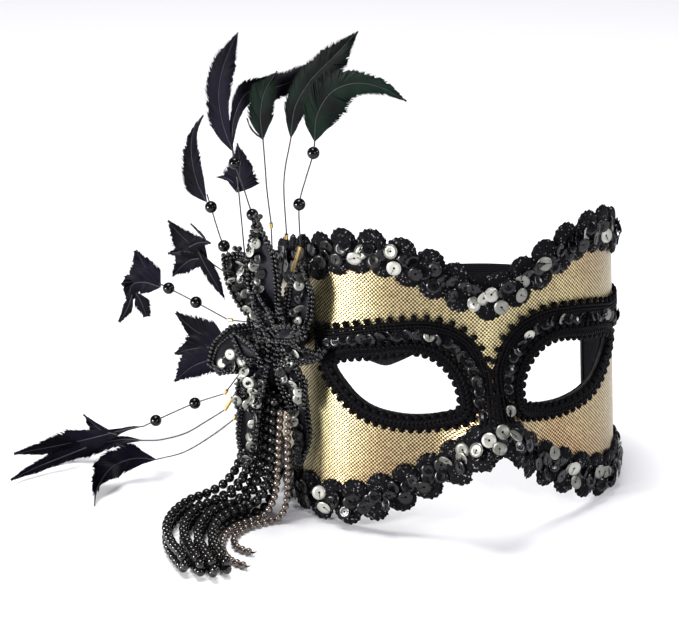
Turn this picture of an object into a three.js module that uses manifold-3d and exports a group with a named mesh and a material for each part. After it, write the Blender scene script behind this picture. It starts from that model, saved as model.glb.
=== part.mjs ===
// A Venetian half mask that stands on its lower edge: a moulded shell with a gold cover and a
// lining, sequin trims, braided eye surrounds, a beaded flower on the wearer's right temple,
// twelve wire stems with feathers, four pearl loops, two grey bead strands and a head strap.
// Millimetres. +X is the wearer's left, -Y is in front of the face and +Z is up.
import * as THREE from "three";
import { mergeVertices } from "three/addons/utils/BufferGeometryUtils.js";
import Module from "manifold-3d";

const wasm = await Module();
wasm.setup();

// ---- driving dimensions -----------------------------------------------------------------
const HALF_WIDTH = 68; // half the width of the face oval
const FACE_DEPTH = 52; // depth of the face oval, from its front to its widest place
const SIDE_RUN = 28; // straight side behind the oval
const LEAN = Math.tan((4 * Math.PI) / 180); // the front leans back by this much a millimetre
const TAPER = 0.0004; // the oval narrows by this share for each millimetre of height
const MID_HEIGHT = 50; // height at which the oval has its nominal width
const NOSE_OUT = 27; // how far the bridge stands out below the brow
const NOSE_TOP = 52; // height at which the bridge has half of that
const NOSE_SOFT = 10; // how softly it fades upwards
const NOSE_SPREAD = 13; // half width of the bridge

const SHELL_THICK = 1.2;
const SKIN_GAP = 0.3; // clearance between glued layers
const COVER_THICK = 0.4;
const LINING_THICK = 0.5;
const TRIM_BASE = 1.1; // height above the shell's face where the trims start
const TRIM_THICK = 2.3;
const TRIM_HALF = 9.5;
const NOSE_NARROWING = 3.25; // the bottom trim's half width is smaller by this over the nose
const NOSE_NARROWING_RUN = 20;
const SHELL_OVERLAP = 4; // how far the shell reaches past the centre line of each trim
const GIMP_WIDTH = 6;
const PICOT_HALF = 1.3;
const EYE_SAMPLES = 44;

const WIRE_RADIUS = 0.45;
const SOCKET_RADIUS = 0.8;
const BEAD_RADIUS = 2.5;
const BEAD_BORE = 0.85;
const FEATHER_THICK = 0.8;
const PETAL_THICK = 1.4;
const PEARL_RADIUS = 2;
const GREY_RADIUS = 1.5;
const STRING_SIDES = 8;
const LOOP_STATIONS = 60;
const GREY_STATIONS = 34;
const END_GAP = 0.4; // air between a wire's end and the piece that it meets

// ---- the face surface, in pattern coordinates -------------------------------------------
// s is the distance around the face from the centre line, z the height.
const OVAL_STEPS = 90;
const ovalRun = [0];
for (let i = 1; i <= OVAL_STEPS; i++) {
  const turn = ((i - 0.5) * Math.PI) / 2 / OVAL_STEPS;
  const speed = Math.hypot(HALF_WIDTH * Math.cos(turn), FACE_DEPTH * Math.sin(turn));
  ovalRun.push(ovalRun[i - 1] + (speed * Math.PI) / 2 / OVAL_STEPS);
}
const QUARTER = ovalRun[OVAL_STEPS];
const SIDE_END = QUARTER + SIDE_RUN;

function turnAt(run) {
  if (run >= QUARTER) return Math.PI / 2;
  let i = 1;
  while (ovalRun[i] < run) i++;
  const part = (run - ovalRun[i - 1]) / (ovalRun[i] - ovalRun[i - 1]);
  return ((i - 1 + part) * Math.PI) / 2 / OVAL_STEPS;
}

function skin(s, z) {
  const run = Math.abs(s);
  const turn = turnAt(run);
  const width = HALF_WIDTH * (1 - TAPER * (z - MID_HEIGHT));
  const x = Math.sign(s) * width * Math.sin(turn);
  const back = FACE_DEPTH * (1 - Math.cos(turn)) + Math.max(0, run - QUARTER);
  const bridge = NOSE_OUT / (1 + Math.exp((z - NOSE_TOP) / NOSE_SOFT));
  const nose = bridge * Math.exp(-((x / NOSE_SPREAD) ** 2));
  return new THREE.Vector3(x, back + z * LEAN - nose, z);
}

// A point the given distance outside the face surface.
function skinOut(s, z, out) {
  const reach = 0.5;
  const across = skin(s + reach, z).sub(skin(s - reach, z));
  const upward = skin(s, z + reach).sub(skin(s, z - reach));
  return across.cross(upward).normalize().multiplyScalar(out).add(skin(s, z));
}

// Smooth height of a line given as [s, z] points, the same on both sides of the face.
function heightAt(line, s) {
  const run = Math.abs(s);
  const last = line.length - 1;
  let i = 0;
  while (i < last - 1 && line[i + 1][0] < run) i++;
  const slope = (k) => {
    if (k === 0 || k === last) return 0;
    return (line[k + 1][1] - line[k - 1][1]) / (line[k + 1][0] - line[k - 1][0]);
  };
  const [s0, z0] = line[i];
  const [s1, z1] = line[i + 1];
  const span = s1 - s0;
  const t = Math.min(1, (run - s0) / span);
  const rise = z1 - z0;
  const a = slope(i) * span;
  const b = slope(i + 1) * span;
  return z0 + a * t + (3 * rise - 2 * a - b) * t * t + (a + b - 2 * rise) * t ** 3;
}

// Centre lines of the two edge trims.
const TOP_LINE = [
  [0, 101.2], [9.5, 104.8], [18.8, 109.2], [28, 114.2], [39.5, 118.2],
  [51, 119.4], [62.5, 117], [72, 112.8], [80.5, 109.6], [QUARTER, 104.5], [SIDE_END, 94],
];
const BOTTOM_LINE = [
  [0, 48.7], [5.9, 45], [11.8, 38.3], [17.7, 32.5], [23.5, 27.3], [31.5, 22.3],
  [40.3, 17.6], [51, 13], [61, 10], [71, 9.5], [QUARTER, 9.5], [SIDE_END, 9.5],
];
// Edge of the eye opening, from the inner corner along the lower lid and back over the top.
const EYE_EDGE = [
  [13.2, 57], [20.9, 53.4], [29.2, 52], [38, 52.2], [47.3, 53.8], [54.1, 57],
  [59.6, 61.5], [64.2, 66], [65.6, 68.4], [60.5, 71.6], [54, 73.6], [45, 75.4],
  [36, 77.7], [30, 78.4], [24.5, 77.2], [19, 73.2], [14.8, 67.2], [13, 61],
];
// Pairs of lower and upper edge of the sequin band, from the side end to the nose bridge.
const BROW_BAND = [
  [116, 61, 74], [98, 63, 75.5], [84, 66, 77.5], [74, 70.5, 79],
].map(([s, low, high]) => [[s, low], [s, high]]).concat([
  [[64, 77.8], [64.6, 81]], [[55.5, 80], [57, 83.4]], [[45.6, 82], [47.3, 86.2]],
  [[33, 85.2], [36, 88.5]], [[24.2, 84.2], [24.7, 89.4]], [[16.4, 79.8], [15.2, 86.4]],
  [[12.3, 75.6], [9.4, 81.2]], [[9.6, 71.6], [6.4, 75.4]], [[7.5, 66.4], [4.1, 69]],
  [[6.9, 63], [3.7, 65.5]], [[6.3, 59], [3.6, 60]], [[6.1, 55.8], [3.6, 55.8]],
]);
const PICOT_LINE = [
  [116, 76.3], [98, 77.6], [84, 79.6], [74.6, 81.1], [64.8, 82.9], [57.4, 85.3], [47.6, 88.1],
  [36, 90.4], [24.6, 91.3], [14.2, 88.4], [7.8, 83.2], [4.4, 77], [2.2, 71], [1.9, 66], [1.9, 56],
];
const FLOWER_SIDE_START = 3; // station where the bands come out from under the flower

// Columns of the face lattice, closer together over the bridge of the nose.
const HALF_COLUMNS = [0, 2.5, 5, 7.5, 10, 13, 17, 22, 28, 34, 40, 46, 52, 58, 64, 70, 76, 82, 88];
const ALL_COLUMNS = [...HALF_COLUMNS, QUARTER, QUARTER + SIDE_RUN / 2, SIDE_END];
const COLUMNS = [...ALL_COLUMNS.slice(1).reverse().map((s) => -s), ...ALL_COLUMNS];

// ---- solids ------------------------------------------------------------------------------
function closedGeometry(points, faces) {
  const at = (k) => points[k];
  let volume = 0;
  for (const [a, b, c] of faces) volume += at(a).dot(at(b).clone().cross(at(c)));
  const index = faces.flatMap(([a, b, c]) => (volume < 0 ? [a, c, b] : [a, b, c]));
  const geometry = new THREE.BufferGeometry().setFromPoints(points);
  geometry.setIndex(index);
  return geometry;
}

// Skins a row of sections, each a ring of points whose first and second half face each other.
function sectionSolid(sections, ring = false) {
  const count = sections[0].length;
  const faces = [];
  const quad = (a, b, c, d) => faces.push([a, b, c], [a, c, d]);
  const crossQuad = (a, b, c, d) => faces.push([a, b, d], [b, c, d]);
  const lastBand = ring ? sections.length : sections.length - 1;
  for (let i = 0; i < lastBand; i++) {
    const here = i * count;
    const next = ((i + 1) % sections.length) * count;
    for (let k = 0; k < count; k++) {
      const k2 = (k + 1) % count;
      const split = k < count / 2 ? quad : crossQuad; // both halves are cut along the same diagonal
      split(here + k, here + k2, next + k2, next + k);
    }
  }
  if (!ring) {
    const end = (sections.length - 1) * count;
    for (let k = 0; k < count / 2 - 1; k++) {
      quad(k, count - 1 - k, count - 2 - k, k + 1);
      quad(end + k, end + k + 1, end + count - 2 - k, end + count - 1 - k);
    }
  }
  return closedGeometry(sections.flat(), faces);
}

// A layer of the face between two heights, from one distance outside the surface to another.
function layerSolid(columns, low, high, inner, outer, rows) {
  return sectionSolid(columns.map((s) => {
    const heights = Array.from({ length: rows + 1 }, (_, j) => low(s) + ((high(s) - low(s)) * j) / rows);
    const front = heights.map((z) => skinOut(s, z, outer).setZ(z));
    const rear = heights.map((z) => skinOut(s, z, inner).setZ(z)).reverse();
    return [...front, ...rear];
  }));
}

function toManifold(geometry) {
  const plain = geometry.clone();
  plain.deleteAttribute("normal");
  plain.deleteAttribute("uv");
  const merged = mergeVertices(plain, 1e-4);
  const vertProperties = new Float32Array(merged.attributes.position.array);
  const triVerts = new Uint32Array(merged.index.array);
  return new wasm.Manifold(new wasm.Mesh({ numProp: 3, vertProperties, triVerts }));
}

function fromManifold(solid) {
  const { vertProperties, triVerts } = solid.getMesh();
  const geometry = new THREE.BufferGeometry();
  geometry.setAttribute("position", new THREE.BufferAttribute(vertProperties, 3));
  geometry.setIndex(new THREE.BufferAttribute(triVerts, 1));
  return geometry;
}

function tube(points, radius, sides, steps) {
  const section = new THREE.Shape();
  section.absarc(0, 0, radius, 0, 2 * Math.PI);
  const path = new THREE.CatmullRomCurve3(points);
  const shape = new THREE.Shape(section.getSpacedPoints(sides).slice(0, sides));
  return new THREE.ExtrudeGeometry(shape, { steps, extrudePath: path, bevelEnabled: false });
}

// ---- materials ---------------------------------------------------------------------------
const finish = (color, roughness, metalness = 0) =>
  new THREE.MeshStandardMaterial({ color, roughness, metalness });
const FINISH = {
  board: finish(0x1b1a1c, 0.8),
  gold: finish(0xc4a35a, 0.35, 0.6),
  felt: finish(0x151416, 0.95),
  sequin: finish(0x18171a, 0.25, 0.3),
  braid: finish(0x131216, 0.6),
  petal: finish(0x1a1820, 0.5),
  feather: finish(0x191522, 0.55),
  greenFeather: finish(0x12261d, 0.5),
  wire: finish(0x8d8a86, 0.4, 0.8),
  bead: finish(0x0f0e10, 0.15),
  pearl: finish(0x161513, 0.25),
  grey: finish(0x6f6259, 0.3, 0.3),
  elastic: finish(0x141317, 0.85),
};

// The table point under the middle of everything but the loose strands is the origin.
const ORIGIN = new THREE.Vector3(-53.5, 54.8, 0);
const mask = new THREE.Group();
mask.name = "feathered_half_mask";
mask.position.copy(ORIGIN).negate();

function addMesh(name, geometry, material) {
  const mesh = new THREE.Mesh(geometry, material);
  mesh.name = name;
  mask.add(mesh);
  return mesh;
}

// ---- shell, cover and lining ---------------------------------------------------------------
const shellLow = (s) => heightAt(BOTTOM_LINE, s) - SHELL_OVERLAP;
const shellHigh = (s) => heightAt(TOP_LINE, s) + SHELL_OVERLAP;
const eyeCurve = new THREE.CatmullRomCurve3(
  EYE_EDGE.map(([s, z]) => new THREE.Vector3(s, z, 0)), true);

// The edge of the eye opening, moved outwards by a distance measured on the face.
function eyeLoop(side, grow) {
  return Array.from({ length: EYE_SAMPLES }, (_, i) => {
    const t = i / EYE_SAMPLES;
    const edge = eyeCurve.getPoint(t);
    const along = eyeCurve.getTangent(t);
    return [side * (edge.x + along.y * grow), edge.y - along.x * grow];
  });
}

// A straight prism through the front of the face in the outline of one eye opening.
function eyePrism(side) {
  const outline = eyeLoop(side, 0).map(([s, z]) => skin(s, z));
  const shape = new THREE.Shape(outline.map((p) => new THREE.Vector2(p.x, p.z)));
  const prism = new THREE.ExtrudeGeometry(shape, { depth: 90, bevelEnabled: false });
  return toManifold(prism.rotateX(Math.PI / 2).translate(0, 60, 0));
}

const eyePrisms = eyePrism(1).add(eyePrism(-1));

function faceLayer(name, inner, outer, inset, material) {
  const layer = layerSolid(COLUMNS, (s) => shellLow(s) + inset, (s) => shellHigh(s) - inset, inner, outer, 6);
  addMesh(name, fromManifold(toManifold(layer).subtract(eyePrisms)), material);
}

const COVER_BASE = SKIN_GAP;
const LINING_BASE = -SHELL_THICK - SKIN_GAP;
faceLayer("mask_shell", -SHELL_THICK, 0, 0, FINISH.board);
faceLayer("gold_cover", COVER_BASE, COVER_BASE + COVER_THICK, 0, FINISH.gold);
faceLayer("inner_lining", LINING_BASE - LINING_THICK, LINING_BASE, 1, FINISH.felt);

// ---- edge trims ----------------------------------------------------------------------------
function edgeTrim(name, line, half) {
  const low = (s) => heightAt(line, s) - half(s);
  const high = (s) => heightAt(line, s) + half(s);
  addMesh(name, layerSolid(COLUMNS, low, high, TRIM_BASE, TRIM_BASE + TRIM_THICK, 3), FINISH.sequin);
}

edgeTrim("top_trim", TOP_LINE, () => TRIM_HALF);
const narrowOverNose = (s) => TRIM_HALF - NOSE_NARROWING * Math.exp(-((s / NOSE_NARROWING_RUN) ** 2));
edgeTrim("bottom_trim", BOTTOM_LINE, narrowOverNose);

// ---- eye surrounds -------------------------------------------------------------------------
const flatSection = (pair, inner, outer) => [
  ...pair.map(([s, z]) => skinOut(s, z, outer)),
  ...pair.map(([s, z]) => skinOut(s, z, inner)).reverse(),
];

function eyeSurround(label, side, firstStation) {
  const inside = eyeLoop(side, 0.1);
  const outside = eyeLoop(side, GIMP_WIDTH);
  const gimp = inside.map((point, i) => flatSection([point, outside[i]], 1.3, 3.3));
  addMesh(label + "_eye_gimp", sectionSolid(gimp, true), FINISH.braid);

  const mirrored = ([s, z]) => [side * s, z];
  const band = BROW_BAND.slice(firstStation).map((pair) => flatSection(pair.map(mirrored), 1.6, 3));
  addMesh(label + "_brow_band", sectionSolid(band), FINISH.sequin);

  const line = PICOT_LINE.slice(firstStation);
  const picot = line.map(([s, z], i) => {
    const [s0, z0] = line[Math.max(0, i - 1)];
    const [s1, z1] = line[Math.min(line.length - 1, i + 1)];
    const length = Math.hypot(s1 - s0, z1 - z0);
    const ds = (-(z1 - z0) / length) * PICOT_HALF;
    const dz = ((s1 - s0) / length) * PICOT_HALF;
    return flatSection([[s - ds, z - dz], [s + ds, z + dz]].map(mirrored), 1.3, 3.2);
  });
  addMesh(label + "_picot_braid", sectionSolid(picot), FINISH.braid);
}

eyeSurround("right", -1, FLOWER_SIDE_START);
eyeSurround("left", 1, 0);

// ---- the flower's own frame ----------------------------------------------------------------
// h runs to the viewer's right across the flower, v is up and d comes out of it.
const FLOWER = new THREE.Vector3(-74, 45, 80);
const FLOWER_TURN = (40 * Math.PI) / 180;
const ACROSS = new THREE.Vector3(Math.cos(FLOWER_TURN), -Math.sin(FLOWER_TURN), 0);
const OUTWARD = new THREE.Vector3(-Math.sin(FLOWER_TURN), -Math.cos(FLOWER_TURN), 0);

function flowerPoint([h, v, d]) {
  const up = new THREE.Vector3(0, 0, v);
  return FLOWER.clone().addScaledVector(ACROSS, h).addScaledVector(OUTWARD, d).add(up);
}

// A thin leaf along a path, with its half widths to the left and to the right of it.
function leaf(name, path, left, right, thick, material) {
  const curve = new THREE.CatmullRomCurve3(path.map(flowerPoint));
  const last = left.length - 1;
  const sections = left.map((wide, i) => {
    const centre = curve.getPoint(i / last);
    const side = curve.getTangent(i / last).cross(OUTWARD).normalize();
    return [
      centre.clone().addScaledVector(side, -wide),
      centre.clone().addScaledVector(OUTWARD, thick / 2),
      centre.clone().addScaledVector(side, right[i]),
      centre.clone().addScaledVector(OUTWARD, -thick / 2),
    ];
  });
  addMesh(name, sectionSolid(sections), material);
}

// ---- petals and rosette ----------------------------------------------------------------------
const PETALS = [
  { name: "petal_top", from: [0, 12.5, 8.4], to: [-6, 49, 8], half: 7 },
  { name: "petal_upper_left", from: [-7.5, 7.5, 3.6], to: [-20, 35, 5], half: 8 },
  { name: "petal_right", from: [5, 9.5, 5.4], to: [13.5, 30.5, 6.4], half: 6.5 },
  { name: "petal_left", from: [-11, -6, 3.6], to: [-30, -19, 5], half: 10 },
  { name: "petal_lower_left", from: [-9, -20, 12.2], to: [-11.2, -56.6, 16.6], half: 5 },
  { name: "petal_lower_right", from: [2.5, -17, 2.8], to: [7, -59, 3.9], half: 4.5 },
];
for (const { name, from, to, half } of PETALS) {
  const fullness = [0.3, 0.8, 1, 0.9, 0.08].map((share) => share * half);
  leaf(name, [from, to], fullness, fullness, PETAL_THICK, FINISH.petal);
}

const ROSETTE_PROFILE = [
  [1.5, 2.4], [7.5, 2.4], [8.2, 4], [7.4, 6.4], [5, 7.2], [3, 6.6], [1.5, 7.6], [1.5, 2.4],
].map(([r, d]) => new THREE.Vector2(r, d));
const rosette = addMesh("rosette", new THREE.LatheGeometry(ROSETTE_PROFILE, 18), FINISH.bead);
rosette.position.copy(FLOWER);
rosette.quaternion.setFromUnitVectors(new THREE.Vector3(0, 1, 0), OUTWARD);

// ---- feather stems ---------------------------------------------------------------------------
// Each wire bends at the mouth of its brass socket. The wire runs on through its points to the
// feather, whose path starts there; beads sit on the numbered points of the wire.
const STEMS = [
  {
    wire: [[7, 36.8, 0.5], [7.1, 55, 1.5], [10.9, 67.3, 3], [14.7, 78.5, 4], [15.8, 83.9, 5]], beads: [1, 3],
    feather: [[17.5, 95, 6], [24, 105.5, 6.4], [34, 110.5, 6.4], [46, 110, 6.2], [55.5, 106.1, 6]],
    left: [0.4, 6.5, 7.5, 4.5, 2.4, 0.3], right: [0.4, 6.5, 8, 4, 2.4, 0.3], green: true,
  },
  {
    wire: [[0.5, 40.7, 0], [-0.4, 63.9, 0], [2.8, 81.8, 0]], beads: [],
    feather: [[5, 95, 0], [12, 107, 0], [22, 118, 0], [32, 129.2, 0]],
    left: [0.4, 5, 5, 3.6, 0.3], right: [0.4, 4.4, 5.6, 4.4, 0.3], green: true,
  },
  {
    wire: [[-5.9, 44.8, 1], [-7.4, 59.2, 1.5], [-7.7, 67.7, 2], [-8.6, 80.1, 2]], beads: [],
    feather: [[-9.5, 90, 2], [-7.5, 100, 2], [-2.1, 109.2, 2]],
    left: [0.4, 6, 4.4, 0.3], right: [0.4, 4.6, 3.6, 0.3], green: true,
  },
  {
    wire: [[-11.4, 40.6, 1], [-13.8, 47.4, 2], [-17.3, 59.1, 3], [-20.4, 69, 4], [-20.4, 74, 5]], beads: [1, 3],
    feather: [[-24.5, 84, 5], [-26.5, 96, 5], [-24.5, 108, 5], [-17.7, 123.6, 5]],
    left: [0.4, 6, 5, 3.4, 0.3], right: [0.4, 3, 4.4, 3.4, 0.3],
  },
  {
    wire: [[-19.2, 28.4, -1], [-21.6, 49.6, -2], [-23.7, 59.3, -4], [-27.5, 70.6, -7]], beads: [],
    feather: [[-26.5, 84, -8], [-20.5, 95, -8], [-9, 98.5, -8], [3, 104.5, -8], [13.8, 113.9, -8]],
    left: [0.4, 1.8, 3.6, 4.2, 3.4, 0.3], right: [0.4, 1.8, 3.4, 4.2, 3.4, 0.3],
  },
  {
    wire: [[-23.8, 25.4, 0], [-27.9, 31, 0.5], [-33.3, 47.2, 1], [-34.7, 52.6, 1.5]], beads: [1, 2],
    feather: [[-40, 60, 1.5], [-41.4, 72, 1.5], [-36, 85.6, 1.5]],
    left: [0.4, 5.4, 2.6, 0.3], right: [0.4, 4.4, 2.4, 0.3],
  },
  {
    wire: [[-24.1, 17.5, 0], [-31, 20.8, 0], [-38, 24, 0]], beads: [],
    feather: [[-44, 27, 0], [-50.5, 30.5, 0]],
    left: [0.4, 6, 11], right: [0.4, 5, 8],
  },
  {
    wire: [[-26.8, -1.5, 0], [-41.8, 3.6, 0], [-54.6, 7.6, 0], [-58.9, 8.9, 0]], beads: [1, 2],
    feather: [[-65, 10, 0], [-73, 6, 0]],
    left: [0.4, 6, 10], right: [0.4, 12, 9],
  },
  {
    wire: [[-26, -15.1, -1], [-30.5, -15.2, -1.5], [-35, -15.3, -2]], beads: [],
    feather: [[-43, -15.4, -2], [-52.5, -15.6, -2]],
    left: [0.6, 12.6, 13], right: [0.6, 11, 13],
  },
  {
    wire: [[-29.6, -35.7, -1], [-44, -43, -1], [-63.2, -54.9, -1], [-69.2, -58.8, -1]], beads: [1, 2],
    feather: [[-80, -62.5, -1], [-94, -67, 2], [-110, -73, 6.5], [-126, -77.4, 14]],
    left: [0.4, 1, 3.5, 1.6, 0.3], right: [0.4, 1, 4.6, 3, 0.3],
  },
  {
    wire: [[-30, -43.5, -2], [-40, -51.5, -2.5], [-50, -59, -3], [-63.6, -65.4, -4], [-72, -67.6, -4.5]], beads: [],
    feather: [[-84, -70.5, -5], [-97, -75.4, -2], [-113, -78.4, 22]],
    left: [0.4, 2.5, 2.4, 0.3], right: [0.4, 2.3, 1.6, 0.3],
  },
  {
    wire: [[-24.2, -45.5, 1], [-34.5, -54.9, 2], [-47.9, -65, 3], [-60.8, -70.6, 4]], beads: [],
    feather: [[-70.6, -70.4, 10], [-75, -73, 22], [-69.5, -77.6, 40]],
    left: [0.4, 4, 3, 0.3], right: [0.4, 7, 5, 0.3],
  },
];

function bead(name, path, index) {
  const half = Math.sqrt(BEAD_RADIUS ** 2 - BEAD_BORE ** 2);
  const lift = Math.acos(half / BEAD_RADIUS);
  const facets = 6;
  const profile = Array.from({ length: facets + 1 }, (_, i) => {
    const angle = lift + ((Math.PI - 2 * lift) * i) / facets;
    return new THREE.Vector2(BEAD_RADIUS * Math.sin(angle), -BEAD_RADIUS * Math.cos(angle));
  });
  const mesh = addMesh(name, new THREE.LatheGeometry([...profile, profile[0].clone()], 10), FINISH.bead);
  const curve = new THREE.CatmullRomCurve3(path);
  const along = curve.getTangent(index / (path.length - 1));
  mesh.position.copy(path[index]);
  mesh.quaternion.setFromUnitVectors(new THREE.Vector3(0, -1, 0), along);
}

// Shortens both ends of a wire by the air gap.
function trimEnds(points) {
  const ends = [[0, 1], [points.length - 1, points.length - 2]];
  const trimmed = points.map((point) => point.clone());
  for (const [end, next] of ends) {
    const inward = points[next].clone().sub(points[end]).normalize();
    trimmed[end].addScaledVector(inward, END_GAP);
  }
  return trimmed;
}

STEMS.forEach(({ wire, beads, feather, left, right, green }, i) => {
  const label = i + 1;
  const path = wire.map(flowerPoint);
  addMesh("stem_" + label, tube(trimEnds(path), WIRE_RADIUS, 6, beads.length ? 16 : 8), FINISH.wire);
  beads.forEach((index, j) => bead("bead_" + label + "ab"[j], path, index));
  const base = wire[wire.length - 1];
  leaf("feather_" + label, [base, ...feather], left, right, FEATHER_THICK, green ? FINISH.greenFeather : FINISH.feather);
});

// ---- hub behind the flower, with one brass socket for each stem -------------------------------
const HUB_CENTRE = [-5, 0, 0];
const HUB_RADIUS = 13;
const HUB_FRONT = 1.2;
const HUB_BACK = -15;
const SOCKET_START = 6;

function buildHub() {
  const disc = new THREE.CylinderGeometry(HUB_RADIUS, HUB_RADIUS, HUB_FRONT - HUB_BACK, 20);
  const turnOut = new THREE.Quaternion().setFromUnitVectors(new THREE.Vector3(0, 1, 0), OUTWARD);
  const middle = flowerPoint([HUB_CENTRE[0], HUB_CENTRE[1], (HUB_FRONT + HUB_BACK) / 2]);
  disc.applyQuaternion(turnOut).translate(middle.x, middle.y, middle.z);
  const temple = COLUMNS.filter((s) => s < -50);
  const faceBody = layerSolid(temple, () => -5, () => 135, -14, COVER_BASE + COVER_THICK + SKIN_GAP, 2);
  let hub = toManifold(disc).subtract(toManifold(faceBody));
  for (const { wire } of STEMS) {
    const mouth = flowerPoint(wire[0]);
    const centre = flowerPoint([HUB_CENTRE[0], HUB_CENTRE[1], wire[0][2] * 0.5 - 0.4]);
    const direction = mouth.clone().sub(centre).normalize();
    const start = centre.clone().addScaledVector(direction, SOCKET_START);
    hub = hub.add(toManifold(tube([start, start.clone().lerp(mouth, 0.5), mouth], SOCKET_RADIUS, 8, 1)));
  }
  return fromManifold(hub);
}

addMesh("flower_hub", buildHub(), FINISH.felt);

// ---- bead strands ------------------------------------------------------------------------------
// Each pearl loop hangs from under the flower, lies forward on the table, folds back over its
// own end and returns on top of itself.
const PEARL_LOOPS = [
  [
    [-85.1, 48.9, 51], [-86.3, 49.3, 38], [-87.8, 50.6, 24], [-90.8, 52.6, 12], [-97, 53.4, 4.6],
    [-105.5, 50.6, 2.25], [-115.5, 45.5, 2.25], [-123.5, 36.5, 2.25], [-129, 25, 2.25],
    [-130.2, 12, 2.25], [-128.6, -1, 2.25], [-127.8, -7.2, 3.6], [-127.7, -7.8, 6.8],
    [-128.7, -4.2, 8.6], [-130.1, 8, 7.4], [-129.2, 24, 6.8], [-123.9, 35.9, 6.8], [-115.8, 44.9, 6.8],
    [-106.2, 49.8, 7], [-100, 50.8, 9.6], [-95.4, 49.4, 16], [-92.2, 47, 26], [-89.9, 45.8, 38],
    [-87.8, 45.6, 51],
  ],
  [
    [-83.7, 44.9, 51], [-84.8, 45, 38], [-86.2, 45.9, 24], [-88.9, 46.8, 12], [-94.2, 45.9, 4.6],
    [-101.5, 43, 2.25], [-110.5, 39, 2.25], [-117.8, 31.5, 2.25], [-122.6, 21, 2.25], [-123.7, 8, 2.25],
    [-122.9, -6, 2.25], [-122.3, -11.6, 3.6], [-122.2, -12.2, 6.8], [-123.1, -9, 8.6], [-123.7, 3, 7.4],
    [-122.9, 20, 6.8], [-118.3, 31, 6.8], [-111, 38.4, 6.8], [-102.3, 42.2, 7], [-97.2, 42.8, 9.6],
    [-93.2, 42.4, 16], [-90.2, 41.9, 26], [-88.2, 41.6, 38], [-86.4, 41.7, 51],
  ],
  [
    [-79.6, 44.2, 51], [-80.6, 43.8, 38], [-81.9, 43.6, 24], [-84, 43, 12], [-88.6, 41.2, 4.6],
    [-95.5, 39, 2.25], [-104.6, 35.2, 2.25], [-112, 28, 2.25], [-117.3, 18, 2.25], [-118.7, 6, 2.25],
    [-118, -8, 2.25], [-117.2, -14, 3.6], [-117.1, -14.6, 6.8], [-118.1, -11.4, 8.6], [-118.8, 1, 7.4],
    [-117.5, 17, 6.8], [-112.5, 27.4, 6.8], [-105.2, 34.4, 6.8], [-96.4, 38.2, 7], [-91.4, 38.9, 9.6],
    [-87.8, 39, 16], [-85.4, 39.2, 26], [-83.9, 39.9, 38], [-82.3, 41, 51],
  ],
  [
    [-78.2, 40.3, 51], [-78.9, 39.6, 38], [-79.8, 38.8, 24], [-81.4, 37.6, 12], [-85.4, 36, 4.6],
    [-91, 34.9, 2.25], [-99.4, 32, 2.25], [-106.8, 25.6, 2.25], [-111.8, 16, 2.25], [-113.3, 4.5, 2.25],
    [-112.8, -7, 2.25], [-112, -12.6, 3.6], [-111.9, -13.2, 6.8], [-112.9, -10, 8.6], [-113.5, 1, 7.4],
    [-112.1, 15, 6.8], [-107.3, 24.8, 6.8], [-100, 31.2, 6.8], [-92, 34.4, 7], [-87.8, 34.6, 9.6],
    [-84.8, 34.4, 16], [-83, 34.7, 26], [-82, 35.6, 38], [-80.9, 37.1, 51],
  ],
];
PEARL_LOOPS.forEach((route, i) => {
  const points = route.map((point) => new THREE.Vector3(...point));
  addMesh("pearl_loop_" + (i + 1), tube(points, PEARL_RADIUS, STRING_SIDES, LOOP_STATIONS), FINISH.pearl);
});

const GREY_STRANDS = [
  [
    [-79.5, 32.4, 48], [-80.3, 31.8, 36], [-81.2, 30.8, 22], [-83, 30.2, 11], [-86.6, 30.4, 4],
    [-91, 30.8, 1.75], [-97.6, 28.2, 1.75], [-103.8, 23, 1.75], [-108, 14.5, 1.75], [-109.4, 5, 1.75],
    [-107.8, -2, 1.75], [-104.2, -7, 1.75],
  ],
  [
    [-76.8, 30.2, 47], [-77.4, 29, 36], [-77.6, 28.2, 22], [-78.2, 28, 10], [-80.6, 28.4, 3.4],
    [-84.6, 28.2, 1.75], [-89.6, 27, 1.75], [-96, 24.4, 1.75], [-100.8, 20, 1.75], [-103.4, 14, 1.75],
    [-103, 8, 1.75], [-99.6, 3.8, 1.75],
  ],
];
GREY_STRANDS.forEach((route, i) => {
  const points = route.map((point) => new THREE.Vector3(...point));
  addMesh("grey_strand_" + (i + 1), tube(points, GREY_RADIUS, STRING_SIDES, GREY_STATIONS), FINISH.grey);
});

// ---- head strap --------------------------------------------------------------------------------
const STRAP_HALF_HEIGHT = 6;
const STRAP_THICK = 1.2;
const STRAP_HALF_ROUTE = [
  [64.4, 68, 65], [64.6, 80, 65], [63, 94, 64.4], [55, 110, 63], [39, 123, 61.4], [20, 130, 60.3], [0, 132, 60],
];
const strapRoute = [
  ...STRAP_HALF_ROUTE,
  ...STRAP_HALF_ROUTE.slice(0, -1).reverse().map(([x, y, z]) => [-x, y, z]),
].map((point) => new THREE.Vector3(...point));

function strapSolid() {
  const curve = new THREE.CatmullRomCurve3(strapRoute);
  const stations = 36;
  const sections = Array.from({ length: stations + 1 }, (_, i) => {
    const centre = curve.getPointAt(i / stations);
    const along = curve.getTangentAt(i / stations);
    const side = new THREE.Vector3(along.y, -along.x, 0).normalize().multiplyScalar(STRAP_THICK / 2);
    const up = new THREE.Vector3(0, 0, STRAP_HALF_HEIGHT);
    return [
      centre.clone().add(side).sub(up),
      centre.clone().add(side).add(up),
      centre.clone().sub(side).add(up),
      centre.clone().sub(side).sub(up),
    ];
  });
  return sectionSolid(sections);
}

addMesh("head_strap", strapSolid(), FINISH.elastic);

export default mask;
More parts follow.
